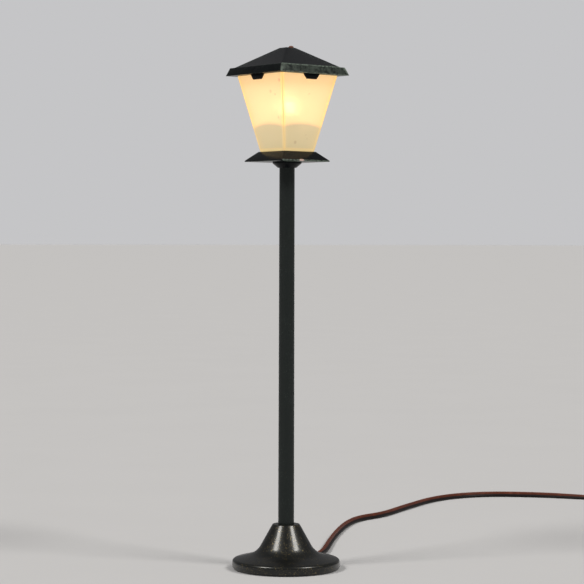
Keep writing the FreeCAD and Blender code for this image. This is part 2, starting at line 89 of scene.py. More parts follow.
class Term:
    """A node's output that takes part in Python sums."""

    def __init__(self, maker: "NodeMaker", socket: bpy.types.NodeSocket) -> None:
        """Wrap a socket that belongs to a maker's tree."""
        self.maker = maker
        self.socket = socket

    def _math(self, operation: str, first: Any, second: Any) -> "Term":
        """Add one Math node for an operator."""
        return self.maker.node("ShaderNodeMath", {0: first, 1: second}, operation=operation)

    def __add__(self, other: Any) -> "Term":
        """self + other."""
        return self._math("ADD", self, other)

    def __sub__(self, other: Any) -> "Term":
        """self - other."""
        return self._math("SUBTRACT", self, other)

    def __rsub__(self, other: Any) -> "Term":
        """other - self."""
        return self._math("SUBTRACT", other, self)

    def __mul__(self, other: Any) -> "Term":
        """self * other."""
        return self._math("MULTIPLY", self, other)

    def __truediv__(self, other: Any) -> "Term":
        """self / other."""
        return self._math("DIVIDE", self, other)

    def __rtruediv__(self, other: Any) -> "Term":
        """other / self."""
        return self._math("DIVIDE", other, self)

    def __pow__(self, other: Any) -> "Term":
        """self ** other."""
        return self._math("POWER", self, other)

    __radd__ = __add__
    __rmul__ = __mul__

    def most(self, other: Any) -> "Term":
        """The larger of self and other."""
        return self._math("MAXIMUM", self, other)

    def size(self) -> "Term":
        """The value without its sign."""
        return self._math("ABSOLUTE", self, 0.0)

    def whole(self) -> "Term":
        """The value rounded down."""
        return self._math("FLOOR", self, 0.0)

    def cos(self) -> "Term":
        """The value's cosine."""
        return self._math("COSINE", self, 0.0)

    def sin(self) -> "Term":
        """The value's sine."""
        return self._math("SINE", self, 0.0)

    def rise(self, low: float, high: float) -> "Term":
        """Go smoothly from 0 at low to 1 at high.

        Args:
            low: The value that gives 0.
            high: The value that gives 1; below low, the rise is a fall.

        Returns:
            The smooth step.
        """
        return self.maker.node(
            "ShaderNodeMapRange",
            {"Value": self, "From Min": low, "From Max": high},
            interpolation_type="SMOOTHSTEP",
        )


class NodeMaker:
    """Adds nodes to one tree."""

    def __init__(self, tree: bpy.types.NodeTree) -> None:
        """Keep the tree that nodes go into."""
        self.tree = tree

    def node(self, kind: str, values: dict | None = None, output: int | str = 0,
             stops: Sequence[tuple[float, Colour]] = (), **settings: Any) -> Term:
        """Add a node, set it up and link it.

        Args:
            kind: The node's type.
            values: Numbers or terms for its sockets, by name or number.
            output: The output that is wanted.
            stops: Places and colours, for a ramp.
            settings: The node's own settings, which are set first.

        Returns:
            The wanted output.
        """
        node = self.tree.nodes.new(kind)
        for name, value in settings.items():
            setattr(node, name, value)
        if stops:
            elements = node.color_ramp.elements
            while len(elements) < len(stops):
                elements.new(0.5)
            for element, (place, colour) in zip(elements, stops):
                element.position = place
                element.color = (*colour, 1.0)
        for name, value in (values or {}).items():
            socket = node.inputs[name]
            if isinstance(value, Term):
                self.tree.links.new(value.socket, socket)
            else:
                socket.default_value = value
        return Term(self, node.outputs[output] if len(node.outputs) else None)


class Surface(NodeMaker):
    """The shader tree of one material."""

    def __init__(self, name: str) -> None:
        """Start a material with an empty tree.

        Args:
            name: The material's name.
        """
        self.material = bpy.data.materials.new(name)
        self.material.use_nodes = True
        self.material.node_tree.nodes.clear()
        super().__init__(self.material.node_tree)
        self.place = self.node("ShaderNodeTexCoord", output="Object")

    def axes(self) -> tuple[Term, Term, Term]:
        """The surface point's x, y and z.

        Returns:
            The three coordinates.
        """
        split = self.node("ShaderNodeSeparateXYZ", {0: self.place})
        outputs = split.socket.node.outputs
        return split, Term(self, outputs[1]), Term(self, outputs[2])

    def noise(self, size: float, detail: float = 2.0, rough: float = 0.55) -> Term:
        """Cloudy noise.

        Args:
            size: The width of its features.
            detail: How many finer layers it has.
            rough: How strong the finer layers are.

        Returns:
            The noise, about 0.2 to 0.8.
        """
        values = {"Vector": self.place, "Scale": 1.0 / size, "Detail": detail, "Roughness": rough}
        return self.node("ShaderNodeTexNoise", values)

    def grains(self, size: float) -> Term:
        """Distance from the nearest of many scattered points, in grain widths."""
        return self.node("ShaderNodeTexVoronoi", {"Vector": self.place, "Scale": 1.0 / size})

    def mark(self, name: str) -> Term:
        """A number kept on the mesh."""
        return self.node("ShaderNodeAttribute", output="Fac", attribute_name=name)

    def blend(self, share: Any, first: Any, second: Any) -> Term:
        """Mix two colours.

        Args:
            share: How much of the second there is.
            first: A colour or term.
            second: A colour or term.

        Returns:
            The mixed colour.
        """
        pair = [(*c, 1.0) if isinstance(c, tuple) else c for c in (first, second)]
        values = {0: share, 6: pair[0], 7: pair[1]}
        return self.node("ShaderNodeMix", values, output=2, data_type="RGBA")

    def bump(self, height: Term, strength: float, depth: float) -> Term:
        """A normal from a height.

        Args:
            height: The height, from 0 to 1.
            strength: How much of the bump shows.
            depth: How deep the height's whole range is.

        Returns:
            The normal.
        """
        values = {"Height": height, "Strength": strength, "Distance": depth}
        return self.node("ShaderNodeBump", values)

    def close(self, **sockets: Any) -> bpy.types.Material:
        """End the tree in one Principled shader.

        Args:
            sockets: Values by socket name, with _ for a space.

        Returns:
            The material.
        """
        values = {}
        for name, value in sockets.items():
            rgb = isinstance(value, tuple) and len(value) == 3
            values[name.replace("_", " ")] = (*value, 1.0) if rgb else value
        shader = self.node("ShaderNodeBsdfPrincipled", values)
        self.node("ShaderNodeOutputMaterial", {"Surface": shader})
        return self.material


# ------------------------------------------------------------------ finishes


@dataclass(frozen=True)
class Finish:
    """A named finish, made into a material once."""

    name: str

    def material(self) -> bpy.types.Material:
        """The finish's material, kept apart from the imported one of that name."""
        title = f"{self.name}_finish"
        return bpy.data.materials.get(title) or self.paint(Surface(title))

    def paint(self, surface: Surface) -> bpy.types.Material:
        """Fill the material's tree."""
        raise NotImplementedError


@dataclass(frozen=True)
class SpeckledLacquer(Finish):
    """Gloss black lacquer on turned metal, with gold flecks where it is thin."""

    dark: Colour
    gold: Colour
    fleck_size: float = 0.42 * MM
    turning_mark: float = 0.22 * MM

    def paint(self, surface: Surface) -> bpy.types.Material:
        """Dark lacquer, scattered flecks, fine grain and faint turning marks.

        Args:
            surface: The material's empty tree.

        Returns:
            The finished material.
        """
        x, y, z = surface.axes()
        grain = surface.noise(self.fleck_size, 3.0, 0.7)
        cloud = surface.noise(2.4 * MM, 3.0)
        fleck = grain.rise(0.56, 0.68) * cloud.rise(0.38, 0.66)
        radius = (x * x + y * y) ** 0.5
        rings = ((radius + z * 0.6) * (FULL_TURN / self.turning_mark)).sin() * 0.5 + 0.5
        return surface.close(
            Base_Color=surface.blend(fleck, self.dark, self.gold),
            Metallic=0.6 + 0.35 * fleck,
            Roughness=0.27 + 0.16 * cloud + 0.1 * grain,
            Specular_IOR_Level=0.5,
            Coat_Weight=0.5,
            Coat_Roughness=0.18,
            Normal=surface.bump(grain * 0.9 + rings * 0.1, 0.6, 0.06 * MM),
        )


@dataclass(frozen=True)
class MattPaint(Finish):
    """Dull brushed-on paint, lightly dusty."""

    colour: Colour
    dust: Colour

    def paint(self, surface: Surface) -> bpy.types.Material:
        """A dull coat with pin-head lumps and patches of dust.

        Args:
            surface: The material's empty tree.

        Returns:
            The finished material.
        """
        lumps = surface.noise(0.9 * MM, 3.0)
        fine = surface.noise(0.35 * MM, 2.0)
        dust = fine.rise(0.60, 0.74) * surface.noise(6 * MM, 3.0).rise(0.4, 0.65)
        return surface.close(
            Base_Color=surface.blend(dust * 0.7, self.colour, self.dust),
            Roughness=0.36 + 0.22 * lumps + 0.1 * dust,
            Specular_IOR_Level=0.3,
            Normal=surface.bump(lumps * 0.7 + fine * 0.3, 0.55, 0.035 * MM),
        )


@dataclass(frozen=True)
class WornPaint(Finish):
    """Satin black paint that has worn greenish grey, most on its +X side.

    It wears along level edges and over a band between two levels, and it may be
    scuffed above the band and chipped in one spot. The levels that a part
    doesn't have are below the floor.
    """

    colour: Colour
    worn: Colour
    edges: tuple[float, ...] = ()
    band: tuple[float, float] = (-2.0, -1.0)
    edge_reach: tuple[float, float] = (0.40 * MM, 0.08 * MM)
    corner_reach: tuple[float, float] = (1.6 * MM, 0.3 * MM)
    scuffs: float = 0.0
    shine: float = 0.08
    chip: Colour = (0.66, 0.50, 0.45)
    chip_at: tuple[float, float, float] = (0.0, 0.0, -1.0)
    chip_size: tuple[float, float, float] = (0.9 * MM, 1.0 * MM, 0.45 * MM)

    def paint(self, surface: Surface) -> bpy.types.Material:
        """Paint with worn level edges, a worn band, scuffs and a chip.

        Args:
            surface: The material's empty tree.

        Returns:
            The finished material.
        """
        x, y, z = surface.axes()
        cloud = surface.noise(1.6 * MM, 4.0, 0.65)
        fine = surface.noise(0.3 * MM, 3.0, 0.6)
        scratch = surface.noise(0.7 * MM, 5.0, 0.75)
        facing = (x - y.size()).rise(-0.1 * MM, 0.1 * MM) * 0.93 + 0.07
        wear = 0.0 * x
        for level in self.edges:
            edge = (z - level).size().rise(*self.edge_reach)
            wear = wear.most(edge * scratch.rise(0.38, 0.58) * facing)
        bottom, top = self.band
        inside = z.rise(bottom - 0.1 * MM, bottom) * z.rise(top + 0.15 * MM, top)
        patch = (cloud * 0.6 + scratch * 0.4).rise(0.38, 0.60)
        corner = (x.size() - y.size()).size().rise(*self.corner_reach) * cloud.rise(0.3, 0.6)
        wear = wear.most(inside * facing * (0.05 + 0.30 * patch + 0.62 * corner))
        above = z.rise(top, top + 0.5 * MM) * (x - y).rise(6 * MM, 0)
        scuff = scratch.rise(0.52, 0.64) * cloud.rise(0.44, 0.58) * above
        wear = wear.most(scuff * self.scuffs)
        spot = 0.0
        for axis, at, size in zip((x, y, z), self.chip_at, self.chip_size):
            spot = ((axis - at) / size) ** 2.0 + spot
        spot = (spot + (scratch - 0.5) * 1.8).rise(1.05, 0.8)
        colour = surface.blend(wear, self.colour, self.worn)
        return surface.close(
            Base_Color=surface.blend(spot, colour, self.chip),
            Metallic=spot * 0.8,
            Roughness=0.17 + 0.12 * cloud + 0.32 * wear,
            Specular_IOR_Level=self.shine,
            Normal=surface.bump(fine * 0.4 + cloud * 0.3 + wear * 0.5, 0.3, 0.03 * MM),
        )


@dataclass(frozen=True)
class FrostedGlow(Finish):
    """Frosted glass that shows the bulb through it, with the bulb's light and the holder's shadow
    also painted on it as a glow.
    """

    bulb_height: float
    pane_depth: float
    shadow_slope: float
    bottom: float
    top: float
    strength: float
    # reaches of the painted bright bands of light at the mitred corners and along the bottom edge
    rim_glow: tuple[float, float] = (1.1 * MM, 0.5 * MM)
    sill_glow: tuple[float, float] = (1.1 * MM, 0.6 * MM)
    seam: tuple[float, float] = (0.34 * MM, 0.10 * MM)
    shadow: tuple[float, float] = (-2.6 * MM, -0.8 * MM)
    speck_spacing: float = 2.6 * MM
    unlit: Colour = (0.50, 0.44, 0.33)
    dirty: Colour = (0.3, 0.25, 0.18)
    # colour of those painted bright bands of light
    rim_glow_amber: Colour = (1.0, 0.62, 0.09)
    seam_brown: Colour = (0.42, 0.25, 0.07)
    # colour of the painted shade under the roof's eaves
    eaves_shade_brown: Colour = (0.55, 0.36, 0.15)
    speck_brown: Colour = (0.30, 0.20, 0.10)
    # colours of the painted glow, from the dim painted shadow up to the brightest painted light
    stops: tuple[tuple[float, Colour], ...] = (
        (0.0, (0.16, 0.12, 0.06)), (0.36, (0.34, 0.29, 0.17)),
        (0.62, (0.66, 0.43, 0.21)), (1.0, (0.76, 0.51, 0.25)))

    def paint(self, surface: Surface) -> bpy.types.Material:
        """Painted light from the bulb, a painted shadow of the holder, painted bright rims, seams
        and specks.

        Args:
            surface: The material's empty tree.

        Returns:
            The finished material.
        """
        x, y, z = surface.axes()
        across = x.size().most(y.size())
        along = x.size() + y.size() - across
        from_axis = (x * x + y * y) ** 0.5
        up = z - self.bulb_height
        away = (from_axis * from_axis + up * up) ** 0.5
        # painted hot spot: the painted light is brightest where the pane is nearest the bulb
        spot = (self.pane_depth / away) ** 2.4
        # painted shadow of the holder's rim: full painted light above its edge, only a dim share
        # below it
        above = (up + from_axis * self.shadow_slope).rise(*self.shadow)
        frost = surface.noise(0.5 * MM, 3.0)
        cloud = surface.noise(5 * MM, 3.0)
        lit = above * (0.42 + 0.58 * spot) + (1.0 - above) * 0.36
        lit = lit * (0.93 + 0.14 * cloud)
        warm = surface.node("ShaderNodeValToRGB", {"Fac": lit}, stops=self.stops)
        # painted bright bands of light along the mitres and the bottom edge, stronger where the
        # painted light is full
        corner = across - along
        sill_glow = z.rise(*(self.bottom + reach for reach in self.sill_glow))
        rim_glow = corner.rise(*self.rim_glow).most(sill_glow)
        seam = corner.rise(*self.seam)
        glow = surface.blend(rim_glow * (0.18 + 0.27 * above), warm, self.rim_glow_amber)
        glow = surface.blend(seam * 0.6, glow, self.seam_brown)
        # painted shade under the roof's eaves: the glow turns browner over the panes' top 1.6 mm
        top_shade = z.rise(self.top - 1.6 * MM, self.top) * 0.2
        glow = surface.blend(top_shade, glow, self.eaves_shade_brown)
        dots = surface.grains(self.speck_spacing).rise(0.26, 0.12)
        dirt = dots * surface.noise(3 * MM, 1.0).rise(0.55, 0.63) * x.rise(2 * MM, 5 * MM)
        glow = surface.blend(dirt * 0.45, glow, self.speck_brown)
        return surface.close(
            Base_Color=surface.blend(dirt * 0.6, self.unlit, self.dirty),
            Roughness=0.50 + 0.10 * frost,
            IOR=1.42,
            Transmission_Weight=0.45,
            Specular_IOR_Level=0.35,
            Emission_Color=glow,
            Emission_Strength=self.strength,
            Normal=surface.bump(frost, 0.25, 0.02 * MM),
        )


@dataclass(frozen=True)
class ClearGlass(Finish):
    """Clear blown glass with the light of the filament in it."""

    tint: Colour
    glow: Colour
    strength: float
    hot_height: float
    hot_reach: float

    def paint(self, surface: Surface) -> bpy.types.Material:
        """Clear wall, brighter round the filament, with a faint ripple.

        Args:
            surface: The material's empty tree.

        Returns:
            The finished material.
        """
        _, _, z = surface.axes()
        near = (z - self.hot_height).size().rise(self.hot_reach, 0.0)
        ripple = surface.noise(1.2 * MM, 2.0)
        dim = tuple(c * 0.35 for c in self.glow)
        return surface.close(
            Base_Color=self.tint,
            Roughness=0.02 + 0.05 * ripple,
            IOR=1.45,
            Transmission_Weight=0.9,
            Emission_Color=surface.blend(near, dim, self.glow),
            Emission_Strength=self.strength,
            Normal=surface.bump(ripple, 0.1, 0.03 * MM),
        )


@dataclass(frozen=True)
class GlowingWire(Finish):
    """White-hot wire."""

    glow: Colour
    strength: float

    def paint(self, surface: Surface) -> bpy.types.Material:
        """Light that varies a little along the wire.

        Args:
            surface: The material's empty tree.

        Returns:
            The finished material.
        """
        ripple = surface.noise(0.3 * MM, 1.0)
        return surface.close(
            Base_Color=(0.3, 0.25, 0.2),
            Metallic=1.0,
            Roughness=0.4 + 0.1 * ripple,
            Emission_Color=surface.blend(ripple, self.glow, (1.0, 0.9, 0.6)),
            Emission_Strength=self.strength,
        )


@dataclass(frozen=True)
class TwinInsulation(Finish):
    """Two-colour extruded insulation, one colour to each core."""

    first: Colour
    second: Colour
    lines_per_metre: float = 1400.0

    def paint(self, surface: Surface) -> bpy.types.Material:
        """Each core in its colour, with extrusion lines and handling marks.

        Args:
            surface: The material's empty tree.

        Returns:
            The finished material.
        """
        core = surface.mark("core")
        run = surface.mark("run")
        cloud = surface.noise(2.5 * MM, 3.0)
        fine = surface.noise(0.2 * MM, 2.0)
        values = {"W": run * self.lines_per_metre, "Scale": 1.0, "Detail": 2.0}
        lines = surface.node("ShaderNodeTexNoise", values, noise_dimensions="1D")
        pale = tuple(min(1.0, c * 1.9 + 0.01) for c in self.first)
        red = surface.blend(cloud.rise(0.45, 0.75) * 0.5, self.first, pale)
        return surface.close(
            Base_Color=surface.blend(core, red, self.second),
            Roughness=0.34 + 0.16 * cloud + 0.08 * fine,
            Specular_IOR_Level=0.22,
            Normal=surface.bump(fine * 0.6 + lines * 0.4, 0.3, 0.02 * MM),
        )


@dataclass(frozen=True)
class Moulding(Finish):
    """Moulded plastic, rubber or ceramic with a fine skin texture."""

    colour: Colour
    pale: Colour
    roughness: float
    skin: float
    depth: float = 0.02 * MM
    sheen: float = 0.0

    def paint(self, surface: Surface) -> bpy.types.Material:
        """Even colour with clouding, small scuffs and a skin texture.

        Args:
            surface: The material's empty tree.

        Returns:
            The finished material.
        """
        cloud = surface.noise(3 * MM, 3.0)
        skin = surface.noise(self.skin, 2.0)
        scuff = surface.noise(0.7 * MM, 5.0, 0.75).rise(0.60, 0.72)
        return surface.close(
            Base_Color=surface.blend(cloud * 0.4 + scuff * 0.4, self.colour, self.pale),
            Roughness=self.roughness + 0.1 * (cloud - 0.5) + 0.15 * scuff,
            Sheen_Weight=self.sheen,
            Normal=surface.bump(skin, 0.5, self.depth),
        )


@dataclass(frozen=True)
class BareMetal(Finish):
    """Machined metal with tool marks and a little tarnish."""

    colour: Colour
    tarnish: Colour
    roughness: float

    def paint(self, surface: Surface) -> bpy.types.Material:
        """Metal with a cloudy tarnish and fine marks.

        Args:
            surface: The material's empty tree.

        Returns:
            The finished material.
        """
        cloud = surface.noise(0.9 * MM, 4.0, 0.6)
        fine = surface.noise(0.1 * MM, 2.0)
        dull = cloud.rise(0.42, 0.68)
        return surface.close(
            Base_Color=surface.blend(dull * 0.8, self.colour, self.tarnish),
            Metallic=1.0 - 0.35 * dull,
            Roughness=self.roughness + 0.25 * dull + 0.1 * fine,
            Normal=surface.bump(fine, 0.35, 0.015 * MM),
        )


@dataclass(frozen=True)
class PlainGround(Finish):
    """A pale even floor with the faintest clouding."""

    colour: Colour

    def paint(self, surface: Surface) -> bpy.types.Material:
        """Soft, pale and nearly even.

        Args:
            surface: The material's empty tree.

        Returns:
            The finished material.
        """
        cloud = surface.noise(60 * MM, 3.0)
        dark = tuple(c * 0.96 for c in self.colour)
        return surface.close(
            Base_Color=surface.blend(cloud, self.colour, dark),
            Roughness=0.8,
            Specular_IOR_Level=0.2,
        )


GREENISH_GREY: Colour = (0.16, 0.20, 0.165)
RED_BROWN: Colour = (0.105, 0.027, 0.014)
BROWN_BLACK: Colour = (0.007, 0.005, 0.005)
LACQUER = SpeckledLacquer("base_gloss_black", (0.007, 0.008, 0.007), (0.26, 0.205, 0.10))
POLE_PAINT = MattPaint("pole_matt_black", (0.009, 0.013, 0.012), (0.055, 0.075, 0.065))
RIVET = BareMetal("rivet_copper", (0.24, 0.10, 0.065), (0.09, 0.045, 0.032), 0.42)
BRASS = BareMetal("brass", (0.78, 0.57, 0.24), (0.30, 0.19, 0.07), 0.22)
STEEL = BareMetal("steel", (0.62, 0.61, 0.59), (0.28, 0.27, 0.25), 0.25)
FELT = Moulding("felt", (0.022, 0.022, 0.022), (0.06, 0.06, 0.06), 0.95, 0.12 * MM,
                depth=0.12 * MM, sheen=0.6)
RUBBER = Moulding("rubber", (0.02, 0.02, 0.02), (0.055, 0.055, 0.052), 0.68, 0.15 * MM)
IVORY = Moulding("holder_plastic", (0.66, 0.61, 0.50), (0.78, 0.73, 0.62), 0.48, 0.12 * MM)
CERAMIC = Moulding("bulb_ceramic", (0.82, 0.79, 0.72), (0.70, 0.64, 0.55), 0.30, 0.2 * MM)
PLUG_BLACK = Moulding("plug_plastic", (0.018, 0.018, 0.019), (0.05, 0.05, 0.05), 0.33, 0.16 * MM)
FLEX = TwinInsulation("flex_red_brown", RED_BROWN, BROWN_BLACK)
FLEX_BLACK = Moulding("flex_black", BROWN_BLACK, (0.04, 0.03, 0.03), 0.38, 0.2 * MM)
FLEX_RED = Moulding("flex_red", RED_BROWN, (0.28, 0.07, 0.035), 0.38, 0.2 * MM)
FILAMENT = GlowingWire("filament_glow", (1.0, 0.72, 0.32), 12.0)


# -------------------------------------------------------------------- meshes


def new_object(name: str, mesh: bpy.types.Mesh) -> bpy.types.Object:
    """Put a mesh in the scene as an object at the origin.

    Args:
        name: The object's name.
        mesh: Its mesh.

    Returns:
        The object.
    """
    piece = bpy.data.objects.new(name, mesh)
    bpy.context.scene.collection.objects.link(piece)
    return piece


def from_faces(name: str, points: Iterable[Sequence[float]], edges: Iterable[Sequence[int]],
               faces: Iterable[Sequence[int]]) -> bpy.types.Object:
    """Make an object from points, edges and faces.

    Args:
        name: The object's name.
        points: Its points.
        edges: Pairs of points, by number.
        faces: Rows of points, by number.

    Returns:
        The object.
    """
    mesh = bpy.data.meshes.new(name)
    mesh.from_pydata([tuple(p) for p in points], list(edges), list(faces))
    mesh.update()
    return new_object(name, mesh)


def settle(piece: bpy.types.Object, sharp: float = 32.0, outward: bool = True) -> bpy.types.Object:
    """Turn an object and its modifiers into one clean plain mesh.

    Args:
        piece: The object.
        sharp: Edges that turn more than this many degrees stay sharp.
        outward: Whether to work the faces' directions out again.

    Returns:
        The same object.
    """
    bpy.context.view_layer.update()
    graph = bpy.context.evaluated_depsgraph_get()
    mesh = bpy.data.meshes.new_from_object(piece.evaluated_get(graph), depsgraph=graph)
    mesh.name = piece.name
    piece.modifiers.clear()
    shape = bmesh.new()
    shape.from_mesh(mesh)
    bmesh.ops.remove_doubles(shape, verts=shape.verts, dist=SEAM)
    bmesh.ops.dissolve_degenerate(shape, edges=shape.edges, dist=SEAM / 10)
    if outward:
        bmesh.ops.recalc_face_normals(shape, faces=shape.faces)
    shape.to_mesh(mesh)
    shape.free()
    mesh.shade_smooth()
    mesh.set_sharp_from_angle(angle=math.radians(sharp))
    piece.data = mesh
    return piece


def soften(piece: bpy.types.Object, width: float, steps: int = 2, limit: float = 28.0) -> None:
    """Round a piece's sharp edges with a live bevel.

    Args:
        piece: The object.
        width: The bevel's width.
        steps: Its steps.
        limit: Edges that turn more than this many degrees are rounded.
    """
    bevel = piece.modifiers.new("rounding", "BEVEL")
    bevel.width = width
    bevel.segments = steps
    bevel.limit_method = "ANGLE"
    bevel.angle_limit = math.radians(limit)
    bevel.use_clamp_overlap = True


def carve(piece: bpy.types.Object, cutter: bpy.types.Object) -> None:
    """Cut one object out of another and drop the cutter.

    Args:
        piece: The object that is cut.
        cutter: The object that is taken away from it.
    """
    cut = piece.modifiers.new("cut", "BOOLEAN")
    cut.operation = "DIFFERENCE"
    cut.solver = "EXACT"
    cut.object = cutter
    settle(piece)
    bpy.data.objects.remove(cutter)


def turned_about(piece: bpy.types.Object, matrix: Matrix) -> bpy.types.Object:
    """Move a piece's mesh, leaving its object at the origin."""
    piece.data.transform(matrix)
    return piece


def ease(value: float, low: float, high: float) -> float:
    """Go smoothly from 0 at one value to 1 at another.

    Args:
        value: The value.
        low: The value that gives 0.
        high: The value that gives 1.

    Returns:
        The smooth share.
    """
    share = min(1.0, max(0.0, (value - low) / (high - low)))
    return share * share * (3 - 2 * share)


def rounded_profile(corners: Sequence[tuple[float, ...]], steps: int = 7,
                    closed: bool = True) -> Outline:
    """Round the corners of a profile.

    Args:
        corners: Radius and height, and a rounding where there is one.
        steps: Points on each rounded corner.
        closed: Whether the last corner joins the first.

    Returns:
        The profile's points; a closed one ends where it starts.
    """
    points: Outline = []
    count = len(corners)
    for index, corner in enumerate(corners):
        at = Vector(corner[:2])
        rounding = corner[2] if len(corner) > 2 else 0.0
        if not rounding:
            points.append(tuple(at))
            continue
        before = (Vector(corners[index - 1][:2]) - at).normalized()
        after = (Vector(corners[(index + 1) % count][:2]) - at).normalized()
        half = before.angle(after) / 2
        centre = at + (before + after).normalized() * (rounding / math.sin(half))
        start = at + before * (rounding / math.tan(half)) - centre
        sweep = start.angle_signed(at + after * (rounding / math.tan(half)) - centre)
        for step in range(steps + 1):
            arm = start.copy()
            arm.rotate(Matrix.Rotation(-sweep * step / steps, 2))
            points.append(tuple(centre + arm))
    return points + points[:1] if closed else points


def rectangle(width: float, depth: float, corner: float, steps: int = 5) -> Outline:
    """A level rectangle with round corners, about the origin.

    Args:
        width: Its size along X.
        depth: Its size along Y.
        corner: The radius of its corners.
        steps: Points on each corner.

    Returns:
        Its outline, counter-clockwise.
    """
    x, y = width / 2, depth / 2
    corners = [(-x, -y, corner), (x, -y, corner), (x, y, corner), (-x, y, corner)]
    return rounded_profile(corners, steps, closed=False)


def block(name: str, outline: Outline, bottom: float, top: float,
          top_outline: Outline | None = None) -> bpy.types.Object:
    """An upright solid between two levels.

    Args:
        name: The piece's name.
        outline: Its lower outline, counter-clockwise.
        bottom: The lower level.
        top: The upper level.
        top_outline: Its upper outline, if that differs.

    Returns:
        The solid.
    """
    upper = top_outline or outline
    count = len(outline)
    points = [(x, y, bottom) for x, y in outline] + [(x, y, top) for x, y in upper]
    faces = [tuple(reversed(range(count))), tuple(range(count, 2 * count))]
    faces += [(i, (i + 1) % count, count + (i + 1) % count, count + i) for i in range(count)]
    return from_faces(name, points, [], faces)


# ------------------------------------------------------------ geometry nodes


class ShapeTree(NodeMaker):
    """A Geometry Nodes tree with named inputs that ends in one plain mesh."""

    def __init__(self, name: str, inputs: Sequence[tuple[str, str, Any]]) -> None:
        """Start a tree.

        Args:
            name: The tree's name.
            inputs: Name, socket type and default of each input after the shape.
        """
        tree = bpy.data.node_groups.new(name, "GeometryNodeTree")
        super().__init__(tree)
        tree.interface.new_socket("Shape", in_out="INPUT", socket_type="NodeSocketGeometry")
        self.keys: dict[str, str] = {}
        rows = [*inputs, ("Finish", "NodeSocketMaterial", None)]
        for title, kind, default in rows:
            socket = tree.interface.new_socket(title, in_out="INPUT", socket_type=kind)
            if default is not None:
                socket.default_value = default
            self.keys[title] = socket.identifier
        tree.interface.new_socket("Shape", in_out="OUTPUT", socket_type="NodeSocketGeometry")
        self.entry = tree.nodes.new("NodeGroupInput")

    def given(self, title: str) -> Term:
        """One of the tree's inputs."""
        return Term(self, self.entry.outputs[title])

    def end(self, shape: Term) -> None:
        """Make a shape real, dress it and hand it out.

        Args:
            shape: The shape, which may still be instances.
        """
        real = self.node("GeometryNodeRealizeInstances", {0: shape})
        values = {"Geometry": real, "Material": self.given("Finish")}
        self.node("NodeGroupOutput", {0: self.node("GeometryNodeSetMaterial", values)})

    def run(self, piece: bpy.types.Object, finish: Finish, **inputs: Any) -> bpy.types.Object:
        """Run the tree on a piece and keep the plain mesh.

        Args:
            piece: The object whose mesh goes in.
            finish: The finish of the result.
            inputs: The tree's other inputs, by title with _ for a space.

        Returns:
            The same object, with its new mesh.
        """
        modifier = piece.modifiers.new(self.tree.name, "NODES")
        modifier.node_group = self.tree
        modifier[self.keys["Finish"]] = finish.material()
        for title, value in inputs.items():
            modifier[self.keys[title.replace("_", " ")]] = value
        return settle(piece)


def turning_tree() -> ShapeTree:
    """A lathe: turns a profile about the Z axis in any number of flats.

    Returns:
        The tree.
    """
    tree = ShapeTree("turning", [
        ("Flats", "NodeSocketInt", 64), ("Turn", "NodeSocketFloat", 0.0),
        ("Reach", "NodeSocketFloat", 1.0)])
    shape = tree.given("Shape")
    rows = tree.node("GeometryNodeAttributeDomainSize", {0: shape}, output="Point Count")
    flats = tree.given("Flats")
    grid = tree.node("GeometryNodeMeshGrid", {"Vertices X": flats + 1, "Vertices Y": rows})
    index = tree.node("GeometryNodeInputIndex")
    column = (index / rows + 1e-5).whole()
    where = tree.node("GeometryNodeInputPosition")
    values = {"Geometry": shape, "Value": where, "Index": index - column * rows}
    point = tree.node("GeometryNodeSampleIndex", values, data_type="FLOAT_VECTOR")
    radius = tree.node("ShaderNodeSeparateXYZ", {0: point})
    height = Term(tree, radius.socket.node.outputs[2])
    angle = column / flats * FULL_TURN + tree.given("Turn")
    reach = radius * tree.given("Reach")
    values = {0: reach * angle.cos(), 1: reach * angle.sin(), 2: height}
    place = tree.node("ShaderNodeCombineXYZ", values)
    moved = tree.node("GeometryNodeSetPosition", {"Geometry": grid, "Position": place})
    tree.end(tree.node("GeometryNodeMergeByDistance", {"Geometry": moved, "Distance": SEAM}))
    return tree


def around_tree() -> ShapeTree:
    """Sets a shape around the Z axis several times, evenly.

    Returns:
        The tree.
    """
    tree = ShapeTree("around", [("Count", "NodeSocketInt", 4)])
    values = {"Count": tree.given("Count"), "Offset": (0.0, 0.0, 0.0)}
    spots = tree.node("GeometryNodeMeshLine", values)
    angle = tree.node("GeometryNodeInputIndex") * FULL_TURN / tree.given("Count")
    turn = tree.node("ShaderNodeCombineXYZ", {2: angle})
    values = {"Points": spots, "Instance": tree.given("Shape"), "Rotation": turn}
    tree.end(tree.node("GeometryNodeInstanceOnPoints", values))
    return tree


def row_tree() -> ShapeTree:
    """Sets a shape in a straight row.

    Returns:
        The tree.
    """
    tree = ShapeTree("row", [
        ("Count", "NodeSocketInt", 2), ("Step", "NodeSocketVector", (0.0, 0.0, 0.0))])
    values = {"Count": tree.given("Count"), "Offset": tree.given("Step")}
    spots = tree.node("GeometryNodeMeshLine", values)
    values = {"Points": spots, "Instance": tree.given("Shape")}
    tree.end(tree.node("GeometryNodeInstanceOnPoints", values))
    return tree


def winding_tree() -> ShapeTree:
    """Winds a wire into a close coil along the Z axis.

    Returns:
        The tree.
    """
    tree = ShapeTree("winding", [
        ("Turns", "NodeSocketFloat", 6.0), ("Radius", "NodeSocketFloat", 0.1 * MM),
        ("Length", "NodeSocketFloat", MM), ("Wire", "NodeSocketFloat", 0.03 * MM)])
    spiral = tree.node("GeometryNodeCurveSpiral", {
        "Resolution": 14, "Rotations": tree.given("Turns"), "Start Radius": tree.given("Radius"),
        "End Radius": tree.given("Radius"), "Height": tree.given("Length")})
    values = {"Resolution": 8, "Radius": tree.given("Wire")}
    section = tree.node("GeometryNodeCurvePrimitiveCircle", values)
    values = {"Curve": spiral, "Profile Curve": section, "Fill Caps": True}
    tree.end(tree.node("GeometryNodeCurveToMesh", values))
    return tree


TURNING = turning_tree()
AROUND = around_tree()
ROW = row_tree()
WINDING = winding_tree()


